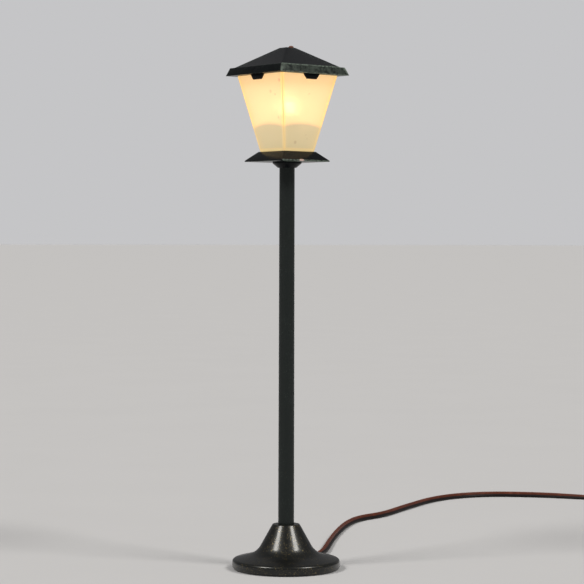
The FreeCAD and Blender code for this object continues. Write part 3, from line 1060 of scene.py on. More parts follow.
def turned(name: str, profile: Outline, finish: Finish, sides: Sides = Sides.ROUND,
           rounding: float = 0.0, steps: int = 2) -> bpy.types.Object:
    """Turn a profile on the lathe tree.

    Args:
        name: The piece's name.
        profile: Radius and height of each point; to the flats on a square.
        finish: The piece's finish.
        sides: How many flats it has.
        rounding: Bevel on its edges after turning.
        steps: Steps of the bevel.

    Returns:
        The turned piece.
    """
    edges = [(i, i + 1) for i in range(len(profile) - 1)]
    piece = from_faces(name, [(r, 0.0, z) for r, z in profile], edges, [])
    square = sides is Sides.SQUARE
    TURNING.run(piece, finish, Flats=sides.value, Turn=math.pi / 4 if square else 0.0,
                Reach=math.sqrt(2) if square else 1.0)
    if rounding:
        soften(piece, rounding, steps)
        settle(piece)
    return piece


# ------------------------------------------------------------- sub-assemblies


@dataclass
class SubAssembly:
    """Pieces that ride on one body."""

    body: Body

    def fit(self, piece: bpy.types.Object, slot: str, *nodes: str) -> bpy.types.Object:
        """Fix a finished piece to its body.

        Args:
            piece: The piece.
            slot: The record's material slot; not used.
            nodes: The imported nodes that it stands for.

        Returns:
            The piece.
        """
        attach(piece, self.body.value)
        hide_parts(*nodes)
        LOG.info("%s on %s: %d faces", piece.name, self.body.value, len(piece.data.polygons))
        return piece

    def dress(self, node: str, finish: Finish) -> None:
        """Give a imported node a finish.

        Args:
            node: The node's name.
            finish: The finish.
        """
        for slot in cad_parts[node].material_slots:
            slot.link = "OBJECT"
            slot.material = finish.material()
        LOG.info("%s dressed in %s", node, finish.name)


def turn_to(angle: float) -> Matrix:
    """A turn about the Z axis, in degrees."""
    return Matrix.Rotation(math.radians(angle), 4, "Z")


def pole_bore() -> float:
    """Radius of a hole that the pole slides in."""
    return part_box("pole_tube")[1].x + SLIDING


def hexagon_nut(owner: SubAssembly, node: str, edge: float = 0.1 * MM) -> None:
    """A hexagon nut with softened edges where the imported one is.

    Args:
        owner: The sub-assembly that it belongs to.
        node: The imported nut's name.
        edge: The bevel on its edges.
    """
    low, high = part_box(node)
    corner = max(high.x, high.y, -low.x, -low.y)
    bore = pole_bore() / math.cos(math.pi / Sides.HEXAGON.value)
    profile = [(bore, low.z), (corner, low.z), (corner, high.z), (bore, high.z), (bore, low.z)]
    nut = turned(f"{node}_hexagon", profile, BRASS, Sides.HEXAGON, edge)
    owner.fit(nut, "brass", node)


@dataclass
class Base(SubAssembly):
    """Turned base, its felt, and what holds the pole and the flex in it."""

    rim_height: float = 2.9 * MM
    rim_round: float = 1.0 * MM
    flare_radius: float = 8.94 * MM
    flare_height: float = 4.78 * MM
    flare_round: float = 6.0 * MM
    cone_radius: float = 4.05 * MM
    recess_radius: float = 7.4 * MM
    recess_top: float = 5.5 * MM
    channel_width: float = 3.4 * MM
    channel_top: float = 2.0 * MM
    felt_notch: float = -1.1 * MM

    def build(self) -> None:
        """Make the casting, felt, saddle, washer and nut."""
        bore, edge = pole_bore(), 0.12 * MM
        casting_high, felt_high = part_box("base_casting")[1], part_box("base_felt")[1]
        radius, bottom, top = casting_high.x, felt_high.z, casting_high.z
        casting = turned("base_casting_turned", rounded_profile([
            (self.recess_radius, bottom, edge), (radius, bottom, 0.25 * MM),
            (radius, self.rim_height, self.rim_round),
            (self.flare_radius, self.flare_height, self.flare_round),
            (self.cone_radius, top, 0.35 * MM), (bore, top, edge),
            (bore, self.recess_top), (self.recess_radius, self.recess_top, 0.5 * MM),
        ], 10), LACQUER)
        carve(casting, self.channel(radius + MM))
        self.fit(casting, "base_gloss_black", "base_casting")
        felt = turned("base_felt_pad", rounded_profile([
            (0.0, 0.0), (felt_high.x, 0.0, edge), (felt_high.x, bottom, edge), (0.0, bottom),
        ], closed=False), FELT)
        carve(felt, self.channel(radius + MM, self.felt_notch))
        self.fit(felt, "felt", "base_felt")
        hexagon_nut(self, "base_nut")
        self.dress("base_washer", STEEL)
        self.dress("flex_saddle", RUBBER)
        self.dress("flex_core_red", FLEX_RED)
        self.dress("flex_core_black", FLEX_BLACK)

    def channel(self, reach: float, start: float | None = None) -> bpy.types.Object:
        """The solid that the flex channel takes away.

        Args:
            reach: How far out it goes.
            start: Where it begins, if that isn't just inside the recess.

        Returns:
            The solid.
        """
        inner = self.recess_radius - self.channel_width / 2 if start is None else start
        middle, length = (inner + reach) / 2, reach - inner
        shape = [(x + middle, y) for x, y in rectangle(length, self.channel_width, 0.05 * MM, 1)]
        cutter = block("channel", shape, -MM, self.channel_top)
        return turned_about(cutter, turn_to(EXIT_ANGLE))


@dataclass
class Pole(SubAssembly):
    """Pole tube with its threads and the collar under the lantern."""

    wall: float = 0.5 * MM
    lip: float = 0.35 * MM
    band: float = 0.5 * MM
    thread_pitch: float = 0.35 * MM
    thread_depth: float = 0.12 * MM

    def build(self) -> None:
        """Make the tube and the collar."""
        low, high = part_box("pole_tube")
        radius = high.x
        inner = radius - self.wall
        profile = [(inner, high.z), (inner, low.z)]
        profile += self.thread(low.z, 3, radius)
        profile += self.thread(high.z - 4 * self.thread_pitch, 4, radius)
        profile += [(radius - 0.1 * MM, high.z), (inner, high.z)]
        self.fit(turned("pole_tube_turned", profile, POLE_PAINT), "pole_matt_black", "pole_tube")
        low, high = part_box("lantern_collar")
        bore = pole_bore()
        collar = turned("lantern_collar_turned", rounded_profile([
            (bore, low.z), (radius + self.lip, low.z, 0.1 * MM),
            (high.x, high.z - self.band, 0.3 * MM), (high.x, high.z, 0.12 * MM), (bore, high.z),
        ]), lantern_paint(LanternPart.COLLAR))
        self.fit(collar, "lantern_black", "lantern_collar")

    def thread(self, start: float, turns: int, radius: float) -> Outline:
        """Fine grooves in the tube's outside.

        Args:
            start: The level that they begin at.
            turns: How many there are, upwards.
            radius: The tube's radius.

        Returns:
            Their profile.
        """
        root, pitch = radius - self.thread_depth, self.thread_pitch
        points: Outline = []
        for number in range(turns):
            z = start + number * pitch
            points += [(root, z + 0.05 * pitch), (radius, z + 0.5 * pitch)]
        return points


class LanternPart(Enum):
    """The painted parts of the lantern, which have worn in their own ways."""

    COLLAR = "collar"
    PLATE = "plate"
    ROOF = "roof"
    LUGS = "lugs"


def lantern_paint(part: LanternPart) -> WornPaint:
    """The lantern's paint on one of its parts.

    Args:
        part: The painted part.

    Returns:
        Its finish, worn on the roof's fascia and chipped on the plate's edge.
    """
    name, black = f"lantern_black_{part.value}", (0.005, 0.006, 0.007)
    roof_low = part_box("roof_shell")[0].z
    plate_low, plate_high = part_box("lantern_plate")
    fascia_top = roof_low + 2.4 * MM
    if part is LanternPart.ROOF:
        return WornPaint(name, black, GREENISH_GREY, edges=(roof_low, fascia_top),
                         band=(roof_low + 0.1 * MM, fascia_top), scuffs=0.5)
    if part is LanternPart.PLATE:
        spot = (plate_high.x, -1.7 * MM, plate_low.z + 0.2 * MM)
        edge = plate_low.z + 0.15 * MM
        return WornPaint(name, black, GREENISH_GREY, edges=(edge,), shine=0.09, chip_at=spot)
    return WornPaint(name, black, GREENISH_GREY)


@dataclass
class LanternPlate(SubAssembly):
    """Square plate that the panes stand on, and its nut."""

    edge: float = 0.35 * MM
    top_half: float = 6.15 * MM
    step_half: float = 4.45 * MM
    step_height: float = 1.0 * MM

    def build(self) -> None:
        """Make the plate and the nut above it."""
        low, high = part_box("lantern_plate")
        shoulder = high.z - self.step_height
        bore = pole_bore()
        plate = turned("lantern_plate_square", [
            (bore, low.z), (high.x, low.z), (high.x, low.z + self.edge),
            (self.top_half, shoulder), (self.step_half, shoulder), (self.step_half, high.z),
            (bore, high.z), (bore, low.z),
        ], lantern_paint(LanternPart.PLATE), Sides.SQUARE, 0.14 * MM, 3)
        self.fit(plate, "lantern_black", "lantern_plate")
        hexagon_nut(self, "plate_nut")


@dataclass
class Glazing(SubAssembly):
    """Four frosted panes, mitred at the corners."""

    low_side: float = 11.5 * MM
    high_side: float = 21.3 * MM
    thickness: float = 1.0 * MM
    joint: float = 0.02 * MM
    # these set the panes' painted glow and the holder's painted shadow in it
    strength: float = 0.88
    bulb_height: float = 138.6 * MM
    pane_depth: float = 8.6 * MM
    shadow_slope: float = 0.42

    def build(self) -> None:
        """Make one pane and set four of it around."""
        low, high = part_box("glass_pane_front")
        finish = FrostedGlow(
            "frosted_glass", bulb_height=self.bulb_height, pane_depth=self.pane_depth,
            shadow_slope=self.shadow_slope, bottom=low.z, top=high.z, strength=self.strength)
        pane = block("frosted_panes", self.section(self.low_side), low.z, high.z,
                     self.section(self.high_side))
        soften(pane, 0.10 * MM, 2)
        AROUND.run(pane, finish, Count=4)
        self.fit(pane, "frosted_glass", *(f"glass_pane_{side}" for side in SIDE_NAMES))

    def section(self, side: float) -> Outline:
        """A pane's level section on the -Y side, a hair short of its mitres.

        Args:
            side: The glazing's outer width at that level.

        Returns:
            The section's outline.
        """
        outer, inner = side / 2, side / 2 - self.thickness
        wide, narrow = outer - self.joint, inner - self.joint
        return [(-wide, -outer), (wide, -outer), (narrow, -inner), (-narrow, -inner)]


@dataclass
class Roof(SubAssembly):
    """Lift-off roof with its rivet and four eaves lugs."""

    fascia_half: float = 12.25 * MM
    fascia_height: float = 2.4 * MM
    slope_half: float = 11.45 * MM
    top_half: float = 1.7 * MM
    hollow_half: float = 9.4 * MM
    hollow_top: float = 1.5 * MM
    hollow_height: float = 6.2 * MM
    shank: float = 0.5 * MM
    lug_top: float = 6.0 * MM
    lug_bottom: float = 3.5 * MM

    def build(self) -> None:
        """Make the shell, the rivet and the lugs."""
        low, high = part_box("roof_shell")
        shank = self.shank + SLIDING
        ledge, ceiling = low.z + self.fascia_height, low.z + self.hollow_height
        shell = turned("roof_shell_square", [
            (self.hollow_half, low.z), (high.x, low.z), (self.fascia_half, ledge),
            (self.slope_half, ledge), (self.top_half, high.z), (shank, high.z), (shank, ceiling),
            (self.hollow_top, ceiling), (self.hollow_half, low.z),
        ], lantern_paint(LanternPart.ROOF), Sides.SQUARE, 0.16 * MM, 3)
        self.fit(shell, "lantern_black", "roof_shell")
        self.rivet()
        self.lugs()

    def rivet(self) -> None:
        """A domed rivet through the roof's flat top."""
        low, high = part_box("roof_rivet")
        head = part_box("roof_shell")[1].z
        middle, radius = (low + high) / 2, (high.x - low.x) / 2
        edge = head + 0.08 * MM
        dome = [(radius * math.cos(t), edge + (high.z - edge) * math.sin(t))
                for t in (math.pi / 2 * step / 10 for step in range(10))]
        profile = [(0.0, low.z), (self.shank, low.z), (self.shank, head), (radius, head), *dome,
                   (0.0, high.z)]
        rivet = turned("roof_rivet_domed", profile, RIVET, Sides.FINE)
        turned_about(rivet, Matrix.Translation((middle.x, middle.y, 0.0)))
        self.fit(rivet, "rivet_copper", "roof_rivet")

    def lugs(self) -> None:
        """One tapered lug under the eaves, set around four times."""
        low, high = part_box("roof_lug_front")
        half = self.lug_bottom / 2
        lower = [(-half, low.y), (half, low.y), (half, high.y), (-half, high.y)]
        upper = [(math.copysign(self.lug_top / 2, x), y) for x, y in lower]
        lug = block("roof_lugs", lower, low.z, high.z, upper)
        soften(lug, 0.15 * MM, 3)
        AROUND.run(lug, lantern_paint(LanternPart.LUGS), Count=4)
        self.fit(lug, "lantern_black", *(f"roof_lug_{side}" for side in SIDE_NAMES))


def contact_pair(piece: bpy.types.Object, finish: Finish) -> None:
    """Set a piece on the axis twice, where the bulb's two contacts are.

    Args:
        piece: The piece, which becomes the pair.
        finish: Its finish.
    """
    turned_about(piece, Matrix.Translation((0.0, -CONTACT_PITCH / 2, 0.0)))
    ROW.run(piece, finish, Count=2, Step=(0.0, CONTACT_PITCH, 0.0))
    turned_about(piece, turn_to(EXIT_ANGLE))


@dataclass
class BulbHolder(SubAssembly):
    """Holder on the pole's top, with its two contact tubes."""

    socket_radius: float = 2.55 * MM
    socket_depth: float = 3.0 * MM
    spigot_radius: float = 1.85 * MM
    waist: float = 0.25 * MM
    contact: float = 0.42 * MM
    contact_bore: float = 0.24 * MM

    def build(self) -> None:
        """Make the holder and the contacts."""
        low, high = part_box("bulb_holder")
        radius, seat, soft = high.x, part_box("pole_tube")[1].z, 0.1 * MM
        floor, waist = high.z - self.socket_depth, radius - self.waist
        holder = turned("bulb_holder_moulded", rounded_profile([
            (0.0, low.z), (self.spigot_radius, low.z, 0.2 * MM), (self.spigot_radius, seat),
            (radius, seat, 0.25 * MM), (radius, seat + 1.4 * MM, soft),
            (waist, seat + 1.7 * MM, soft), (waist, high.z - 1.6 * MM, soft),
            (radius, high.z - 1.3 * MM, soft), (radius, high.z, 0.2 * MM),
            (self.socket_radius, high.z, 0.12 * MM), (self.socket_radius, floor), (0.0, floor),
        ], 4, closed=False), IVORY)
        self.fit(holder, "holder_plastic", "bulb_holder")
        low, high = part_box("holder_contact_a")
        bottom, mouth, lip = low.z + 0.6 * MM, high.z + 0.05 * MM, 0.05 * MM
        tube = turned("holder_contacts", rounded_profile([
            (self.contact_bore, bottom), (0.0, bottom), (0.0, low.z),
            (self.contact, low.z, 0.08 * MM), (self.contact, mouth, lip),
            (self.contact_bore, mouth, lip)], 3), BRASS, Sides.FINE)
        contact_pair(tube, BRASS)
        self.fit(tube, "brass", "holder_contact_a", "holder_contact_b")


@dataclass
class Bulb(SubAssembly):
    """Plug-in bulb: ceramic base, two pins, envelope and filament."""

    pin: float = 0.22 * MM
    post: float = 0.121 * MM
    wall: float = 0.3 * MM
    neck: float = 3.5 * MM
    hot_reach: float = 3.2 * MM
    wire: float = 0.035 * MM

    def build(self) -> None:
        """Make the bulb's pieces from the pins up."""
        low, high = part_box("bulb_base")
        radius = high.x
        base = turned("bulb_base_ceramic", rounded_profile([
            (0.0, low.z), (radius, low.z, 0.15 * MM), (radius, high.z, 0.35 * MM), (0.0, high.z)],
            5, closed=False), CERAMIC)
        self.fit(base, "bulb_ceramic", "bulb_base")
        self.pins()
        self.envelope()
        self.filament()

    def pins(self) -> None:
        """The two pins, which carry the filament at their tops."""
        low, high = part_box("bulb_pin_a")
        pins = turned("bulb_pins", rounded_profile([
            (0.0, low.z), (self.pin, low.z, 0.12 * MM), (self.pin, high.z - 1.2 * MM),
            (self.post, high.z - 0.9 * MM), (self.post, high.z, 0.08 * MM), (0.0, high.z)],
            4, closed=False), STEEL, Sides.FINE)
        contact_pair(pins, STEEL)
        self.fit(pins, "steel", "bulb_pin_a", "bulb_pin_b")

    def envelope(self) -> None:
        """A thin blown envelope with a domed top and a sealed tip."""
        low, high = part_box("bulb_envelope")
        radius, centre = high.x, low.z + self.neck
        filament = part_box("bulb_filament")[0].z
        steps = [math.pi / 2 * step / 16 for step in range(17)]
        outer = [(radius * math.cos(t), centre + (high.z - centre) * math.sin(t)) for t in steps]
        inner = radius - self.wall
        lining = [(inner * math.cos(t), centre + inner * math.sin(t)) for t in reversed(steps)]
        lining[0], outer[-1] = (0.0, centre + inner), (0.0, high.z)
        profile = [(inner, low.z), (radius, low.z), *outer, *lining, (inner, low.z)]
        glass = ClearGlass("bulb_glass", tint=(1.0, 0.96, 0.88), glow=(1.0, 0.86, 0.58),
                           strength=7.0, hot_height=filament, hot_reach=self.hot_reach)
        self.fit(turned("bulb_envelope_blown", profile, glass), "bulb_glass", "bulb_envelope")

    def filament(self) -> None:
        """A fine coil of wire between the pins."""
        low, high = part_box("bulb_filament")
        length = CONTACT_PITCH + 2 * self.pin
        coil = from_faces("bulb_filament_coil", [(0.0, 0.0, 0.0)], [], [])
        WINDING.run(coil, FILAMENT, Turns=11.0, Radius=(high.z - low.z) / 2 - self.wire,
                    Length=length - 2 * self.wire, Wire=self.wire)
        lie = Matrix.Rotation(math.radians(QUARTER), 4, "X")
        middle = (low + high) / 2
        shift = Matrix.Translation((0.0, 0.0, -length / 2 + self.wire))
        place = Matrix.Translation(middle) @ turn_to(EXIT_ANGLE) @ lie @ shift
        self.fit(turned_about(coil, place), "filament_glow", "bulb_filament")


# ---------------------------------------------------------------------- flex


@dataclass
class Flex(SubAssembly):
    """Flat twin flex from the base along the floor, its coil and its plug."""

    rim_radius: float = 16.2 * MM
    length: float = 0.41
    core: float = 0.55 * MM
    lift: float = 0.06 * MM
    coil_radius: float = 13.0 * MM
    inner_radius: float = 10.75 * MM
    coil_points: int = 16
    tail: float = 17.0 * MM
    plug_level: float = 1.65 * MM
    turned_up: float = 52.0
    turns_up: tuple[float, float] = (0.018, 0.198)
    lies_flat: float = 0.16
    laps_in: tuple[float, float] = (0.70, 0.98)
    laps_out: tuple[float, float] = (1.66, 1.96)
    laps_over: tuple[float, float] = (1.48, 1.68)
    route: tuple[tuple[float, float], ...] = (
        (-0.0096, 0.0167), (-0.0121, 0.0250), (-0.0305, 0.0436), (-0.0445, 0.0585),
        (-0.0580, 0.0745), (-0.0648, 0.0860), (-0.0664, 0.0985), (-0.0762, 0.1175),
        (-0.0893, 0.1460), (-0.0876, 0.1675), (-0.0733, 0.1828), (-0.0542, 0.1944),
        (-0.0356, 0.2039))

    def exit_point(self) -> Vector:
        """Where the flex comes out from under the rim.

        Returns:
            The middle of its section there.
        """
        angle = math.radians(EXIT_ANGLE)
        out = Vector((math.cos(angle), math.sin(angle), 0.0))
        return out * self.rim_radius + Vector((0, 0, self.core))

    def heading(self) -> Vector:
        """The way the flex points as it meets the coil and as it leaves it."""
        before, last = (Vector((*spot, 0.0)) for spot in self.route[-2:])
        return (last - before).normalized()

    def lean(self, share: float) -> float:
        """How far the flex is turned on edge, in degrees.

        Args:
            share: The share of the way from the base to the coil.

        Returns:
            The turn, with the first core up.
        """
        turned = ease(share, *self.turns_up) * ease(1.0 - share, 0.0, self.lies_flat)
        return self.turned_up * turned

    def level(self, lean: float) -> float:
        """Height of the flex's middle when it is turned on edge so far."""
        return self.core * (1 + abs(math.sin(math.radians(lean)))) + self.lift

    def control_points(self) -> list[Vector]:
        """The flex's given route, then its coil and tail.

        Returns:
            The points that pull the spline.
        """
        points = [self.exit_point()]
        for number, (x, y) in enumerate(self.route, 1):
            lean = self.lean(number / len(self.route))
            points.append(Vector((x, y, self.level(lean))))
        last, ahead = points[-1].copy(), self.heading()
        last.z = 0.0
        centre = last + ahead.cross(Vector((0, 0, 1))) * self.coil_radius
        start = (last - centre).normalized()
        outwards = 1 / math.cos(math.pi / self.coil_points)
        for number in range(2 * self.coil_points):
            lap = (number + 0.5) / self.coil_points
            radius, height = self.coil_place(lap)
            arm = start.copy()
            arm.rotate(Matrix.Rotation(-FULL_TURN * lap, 3, "Z"))
            points.append(centre + arm * (radius * outwards) + Vector((0, 0, height)))
        top = Vector((0, 0, self.plug_level))
        points += [last + ahead * (self.tail * share) + top for share in (0.35, 0.7, 1.0)]
        return points

    def coil_place(self, lap: float) -> tuple[float, float]:
        """Radius and height of the coil after so many turns.

        Args:
            lap: Turns since the coil began, from 0 to 2.

        Returns:
            The first turn lies outside, the second inside it until it climbs over.
        """
        spread = self.coil_radius - self.inner_radius
        inside = ease(lap, *self.laps_in) - ease(lap, *self.laps_out)
        low = self.level(0.0)
        climb = (self.plug_level - low) * ease(lap, *self.laps_over)
        return self.coil_radius - spread * inside, low + climb

    def smooth_line(self) -> list[Vector]:
        """Follow the smooth spline that the control points pull.

        Returns:
            Points along it.
        """
        curve = bpy.data.curves.new("flex_line", "CURVE")
        curve.dimensions = "3D"
        spline = curve.splines.new("NURBS")
        points = self.control_points()
        spline.points.add(len(points) - 1)
        for target, point in zip(spline.points, points):
            target.co = (*point, 1.0)
        spline.order_u = 3
        spline.use_endpoint_u = True
        spline.resolution_u = 14
        guide = bpy.data.objects.new("flex_line", curve)
        bpy.context.scene.collection.objects.link(guide)
        bpy.context.view_layer.update()
        graph = bpy.context.evaluated_depsgraph_get()
        mesh = bpy.data.meshes.new_from_object(guide.evaluated_get(graph), depsgraph=graph)
        line = [v.co.copy() for v in mesh.vertices]
        bpy.data.objects.remove(guide)
        bpy.data.curves.remove(curve)
        bpy.data.meshes.remove(mesh)
        return line

    def section(self) -> list[tuple[float, float, float]]:
        """The twin section, counter-clockwise.

        Returns:
            Across, up and which core, for each point.
        """
        points = []
        for core, side in ((0.0, 1.0), (1.0, -1.0)):
            for number in range(13):
                angle = math.radians(-150 + 300 * number / 12)
                across = side * self.core * (1 + math.cos(angle))
                points.append((across, side * self.core * math.sin(angle), core))
        return points

    def tube(self, line: Sequence[Vector]) -> bpy.types.Object:
        """Sweep the twin section along the line, turning it as it goes.

        Args:
            line: The middle line's points.

        Returns:
            The flex.
        """
        runs = [0.0]
        for first, second in zip(line, line[1:]):
            runs.append(runs[-1] + (second - first).length)
        coil_start = Vector(self.route[-1])
        free = next((run for run, spot in zip(runs, line)
                     if (spot.xy - coil_start).length < 1.5 * MM), runs[-1])
        section = self.section()
        shape = bmesh.new()
        core_mark = shape.faces.layers.float.new("core")
        run_mark = shape.verts.layers.float.new("run")
        rings = []
        for number, spot in enumerate(line):
            ahead = (line[min(number + 1, len(line) - 1)] - line[max(number - 1, 0)]).normalized()
            side = Vector((0, 0, 1)).cross(ahead).normalized()
            top = ahead.cross(side)
            turn = Matrix.Rotation(math.radians(self.lean(min(1.0, runs[number] / free))), 3, ahead)
            ring = []
            for across, up, _ in section:
                vert = shape.verts.new(spot + turn @ (side * across + top * up))
                vert[run_mark] = runs[number]
                ring.append(vert)
            rings.append(ring)
        count = len(section)
        for first, second in zip(rings, rings[1:]):
            for index in range(count):
                after = (index + 1) % count
                face = shape.faces.new((first[index], first[after], second[after], second[index]))
                face[core_mark] = section[index][2]
        shape.faces.new(tuple(reversed(rings[0])))
        shape.faces.new(tuple(rings[-1]))
        bmesh.ops.recalc_face_normals(shape, faces=shape.faces)
        mesh = bpy.data.meshes.new("twin_flex")
        shape.to_mesh(mesh)
        shape.free()
        mesh.shade_smooth()
        mesh.set_sharp_from_angle(angle=math.radians(50))
        mesh.materials.append(FLEX.material())
        return new_object("twin_flex", mesh)

    def build(self) -> None:
        line = self.smooth_line()
        flex = self.fit(self.tube(line), "flex_red_brown", "flex_tube", "flex_coil", "flex_tail")
        pieces = Plug(self.body, line[-1], self.heading()).build()
        length = sum((b - a).length for a, b in zip(line, line[1:]))
        LOG.info("flex is %.3f m long", length)


@dataclass
class Plug(SubAssembly):
    """Small two-pin plug: sleeve, two halves with finger ribs, and pins."""

    start: Vector
    ahead: Vector
    sleeve: float = 3.0 * MM
    sleeve_radius: float = 1.6 * MM
    length: float = 9.0 * MM
    width: float = 7.0 * MM
    height: float = 3.3 * MM
    corner: float = 1.0 * MM
    pin: float = 0.5 * MM
    pin_root: float = 0.3 * MM
    held_pin: float = 5.0 * MM
    free_pin: float = 4.0 * MM
    pitch: float = 3.2 * MM
    rib_inset: float = 0.35 * MM
    rib_height: float = 0.4 * MM

    def place(self, piece: bpy.types.Object) -> bpy.types.Object:
        """Move a piece from the plug's own axes to where the plug lies."""
        turn = turn_to(math.degrees(math.atan2(self.ahead.y, self.ahead.x)))
        return turned_about(piece, Matrix.Translation(self.start) @ turn)

    def lying(self, piece: bpy.types.Object, along: float, across: float) -> bpy.types.Object:
        """Lay an upright turned piece along the plug."""
        turn = Matrix.Rotation(math.radians(QUARTER), 4, "Y")
        return turned_about(piece, Matrix.Translation((along, across, 0.0)) @ turn)

    def build(self) -> list[bpy.types.Object]:
        """Make the plug's pieces and return them."""
        return [self.grommet(), self.half("lower", -1.0), self.half("upper", 1.0), self.pins()]

    def grommet(self) -> bpy.types.Object:
        """A tapered sleeve with three rings.

        Returns:
            The sleeve.
        """
        tip, wide = 1.2 * MM, self.sleeve_radius
        profile = [(0.0, 0.0), (tip, 0.0)]
        for number in range(3):
            at = (0.5 + number * 0.75) * MM
            radius = tip + (wide - tip) * (number + 1) / 3
            profile += [(radius, at), (radius, at + 0.4 * MM), (radius - 0.18 * MM, at + 0.5 * MM)]
        profile += [(wide, self.sleeve - 0.25 * MM), (wide, self.sleeve), (0.0, self.sleeve)]
        piece = turned("plug_sleeve_ringed", profile, RUBBER, Sides.FINE)
        self.place(self.lying(piece, 0.0, 0.0))
        return self.fit(piece, "rubber", "plug_sleeve")

    def half(self, name: str, side: float) -> bpy.types.Object:
        """One half of the body, with shallow finger ribs along both edges.

        Args:
            name: Which half it is.
            side: 1 for the one above the plug's middle, -1 for the one below.

        Returns:
            The half.
        """
        middle = self.sleeve + self.length / 2
        body = rectangle(self.length, self.width - self.rib_height, self.corner)
        shape = [(x + middle, y) for x, y in body]
        low, high = sorted((0.0, side * self.height / 2))
        piece = block(f"plug_{name}_half_moulded", shape, low, high)
        soften(piece, 0.22 * MM, 3, 50.0)
        settle(piece)
        piece.data.materials.append(PLUG_BLACK.material())
        ribs = []
        for edge in (-1.0, 1.0):
            outline = [(x, y + edge * (self.width / 2 - self.rib_inset))
                       for x, y in rectangle(0.45 * MM, 2 * self.rib_inset, 0.12 * MM, 3)]
            rib = block("rib", outline, low + self.rib_inset, high - self.rib_inset)
            turned_about(rib, Matrix.Translation((self.sleeve + 2.2 * MM, 0.0, 0.0)))
            ribs.append(ROW.run(rib, PLUG_BLACK, Count=6, Step=(0.9 * MM, 0.0, 0.0)))
        self.join(piece, ribs)
        self.place(piece)
        return self.fit(piece, "plug_plastic", f"plug_{name}_half")

    def join(self, piece: bpy.types.Object, others: Sequence[bpy.types.Object]) -> None:
        """Add other pieces' meshes to a piece's mesh and drop them.

        Args:
            piece: The piece that grows.
            others: The pieces that go into it.
        """
        shape = bmesh.new()
        shape.from_mesh(piece.data)
        for other in others:
            shape.from_mesh(other.data)
            bpy.data.objects.remove(other)
        shape.to_mesh(piece.data)
        shape.free()

    def pins(self) -> bpy.types.Object:
        """Two pins with rounded tips, side by side.

        Returns:
            The pair.
        """
        start, whole = self.sleeve + self.length - self.held_pin, self.held_pin + self.free_pin
        profile = rounded_profile([
            (0.0, 0.0), (self.pin_root, 0.0), (self.pin_root, self.held_pin),
            (self.pin, self.held_pin), (self.pin, whole, 0.35 * MM), (0.0, whole),
        ], 5, closed=False)
        piece = turned("plug_pins", profile, BRASS, Sides.FINE)
        self.lying(piece, start, -self.pitch / 2)
        ROW.run(piece, BRASS, Count=2, Step=(0.0, self.pitch, 0.0))
        self.place(piece)
        return self.fit(piece, "brass", "plug_pin_a", "plug_pin_b")


# -------------------------------------------------------------------- studio


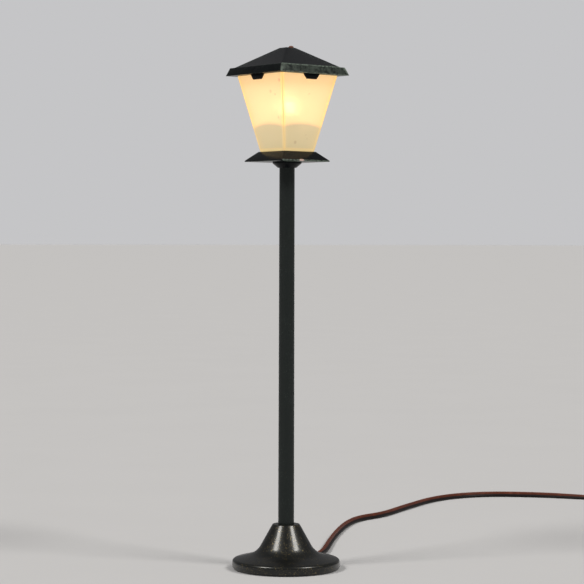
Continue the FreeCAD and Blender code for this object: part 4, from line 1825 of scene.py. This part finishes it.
@dataclass
class Studio:
    """Floor, lights, sky and camera."""

    camera_angle: float = 51.0
    camera_reach: float = 0.609
    camera_height: float = 0.0986
    lens: float = 125.1
    tilt: float = -1.439
    pan: float = -0.149
    roll: float = 0.16
    lamp_side: float = 58.0
    lamp_rise: float = 47.0
    lamp_spread: float = 18.0
    lamp_power: float = 1.7
    lamp_colour: Colour = (1.0, 0.97, 0.92)
    ambient: float = 0.16
    backdrop: float = 0.57
    sky: Colour = (0.98, 0.98, 1.0)
    ground: Colour = (0.62, 0.62, 0.63)
    floor_half: float = 40.0

    def build(self) -> None:
        """Make everything round the lamp."""
        scene = bpy.context.scene
        scene.view_settings.view_transform = "Standard"
        half = self.floor_half
        corners = [(-half, -half, 0), (half, -half, 0), (half, half, 0), (-half, half, 0)]
        floor = from_faces("floor", corners, [], [(0, 1, 2, 3)])
        floor.data.materials.append(PlainGround("pale_floor", self.ground).material())
        world = bpy.data.worlds.new("studio")
        world.use_nodes = True
        world.node_tree.nodes.clear()
        maker = NodeMaker(world.node_tree)
        sky = (*self.sky, 1.0)
        light = maker.node("ShaderNodeBackground", {"Color": sky, "Strength": self.ambient})
        shown = maker.node("ShaderNodeBackground", {"Color": sky, "Strength": self.backdrop})
        seen = maker.node("ShaderNodeLightPath", output="Is Camera Ray")
        both = maker.node("ShaderNodeMixShader", {0: seen, 1: light, 2: shown})
        maker.node("ShaderNodeOutputWorld", {"Surface": both})
        scene.world = world
        for name, side in (("left_lamp", -self.lamp_side), ("right_lamp", self.lamp_side)):
            self.light(name, self.camera_angle + side, self.lamp_rise)
        self.camera()

    def seen_from(self, angle: float) -> Vector:
        """The level direction of an angle round the lamp, in degrees from -Y."""
        return Vector((math.sin(math.radians(angle)), -math.cos(math.radians(angle)), 0.0))

    def light(self, name: str, angle: float, height: float) -> None:
        """A broad soft lamp, far off, that lights the floor evenly.

        Args:
            name: Its name.
            angle: Where it stands round the lamp post, in degrees.
            height: How high it stands, in degrees.
        """
        lamp = bpy.data.lights.new(name, "SUN")
        lamp.angle, lamp.energy = math.radians(self.lamp_spread), self.lamp_power
        lamp.color = self.lamp_colour
        rise = math.radians(height)
        spot = self.seen_from(angle) * math.cos(rise) + Vector((0, 0, math.sin(rise)))
        holder = bpy.data.objects.new(name, lamp)
        holder.location = spot
        holder.rotation_euler = spot.to_track_quat("Z", "Y").to_euler()
        bpy.context.scene.collection.objects.link(holder)

    def camera(self) -> None:
        """The camera, at the height of the pole's middle and a little to one side."""
        camera = bpy.data.cameras.new("camera")
        camera.lens, camera.sensor_width = self.lens, 36.0
        camera.clip_start = 0.01
        holder = bpy.data.objects.new("camera", camera)
        holder.location = self.seen_from(self.camera_angle) * self.camera_reach
        holder.location.z = self.camera_height
        aim = turn_to(self.camera_angle + self.pan) @ Matrix.Rotation(
            math.radians(QUARTER + self.tilt), 4, "X") @ turn_to(self.roll)
        holder.rotation_euler = aim.to_euler()
        bpy.context.scene.collection.objects.link(holder)
        bpy.context.scene.camera = holder


def main() -> None:
    """Build the lamp's sub-assemblies and the studio."""
    logging.basicConfig(level=logging.INFO, format="%(message)s")
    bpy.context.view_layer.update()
    Studio().build()
    Flex(Body.POST).build()
    Base(Body.POST).build()
    Pole(Body.POST).build()
    LanternPlate(Body.POST).build()
    BulbHolder(Body.POST).build()
    Glazing(Body.GLAZING).build()
    Roof(Body.ROOF).build()
    Bulb(Body.BULB).build()


if __name__ == "__main__":
    main()
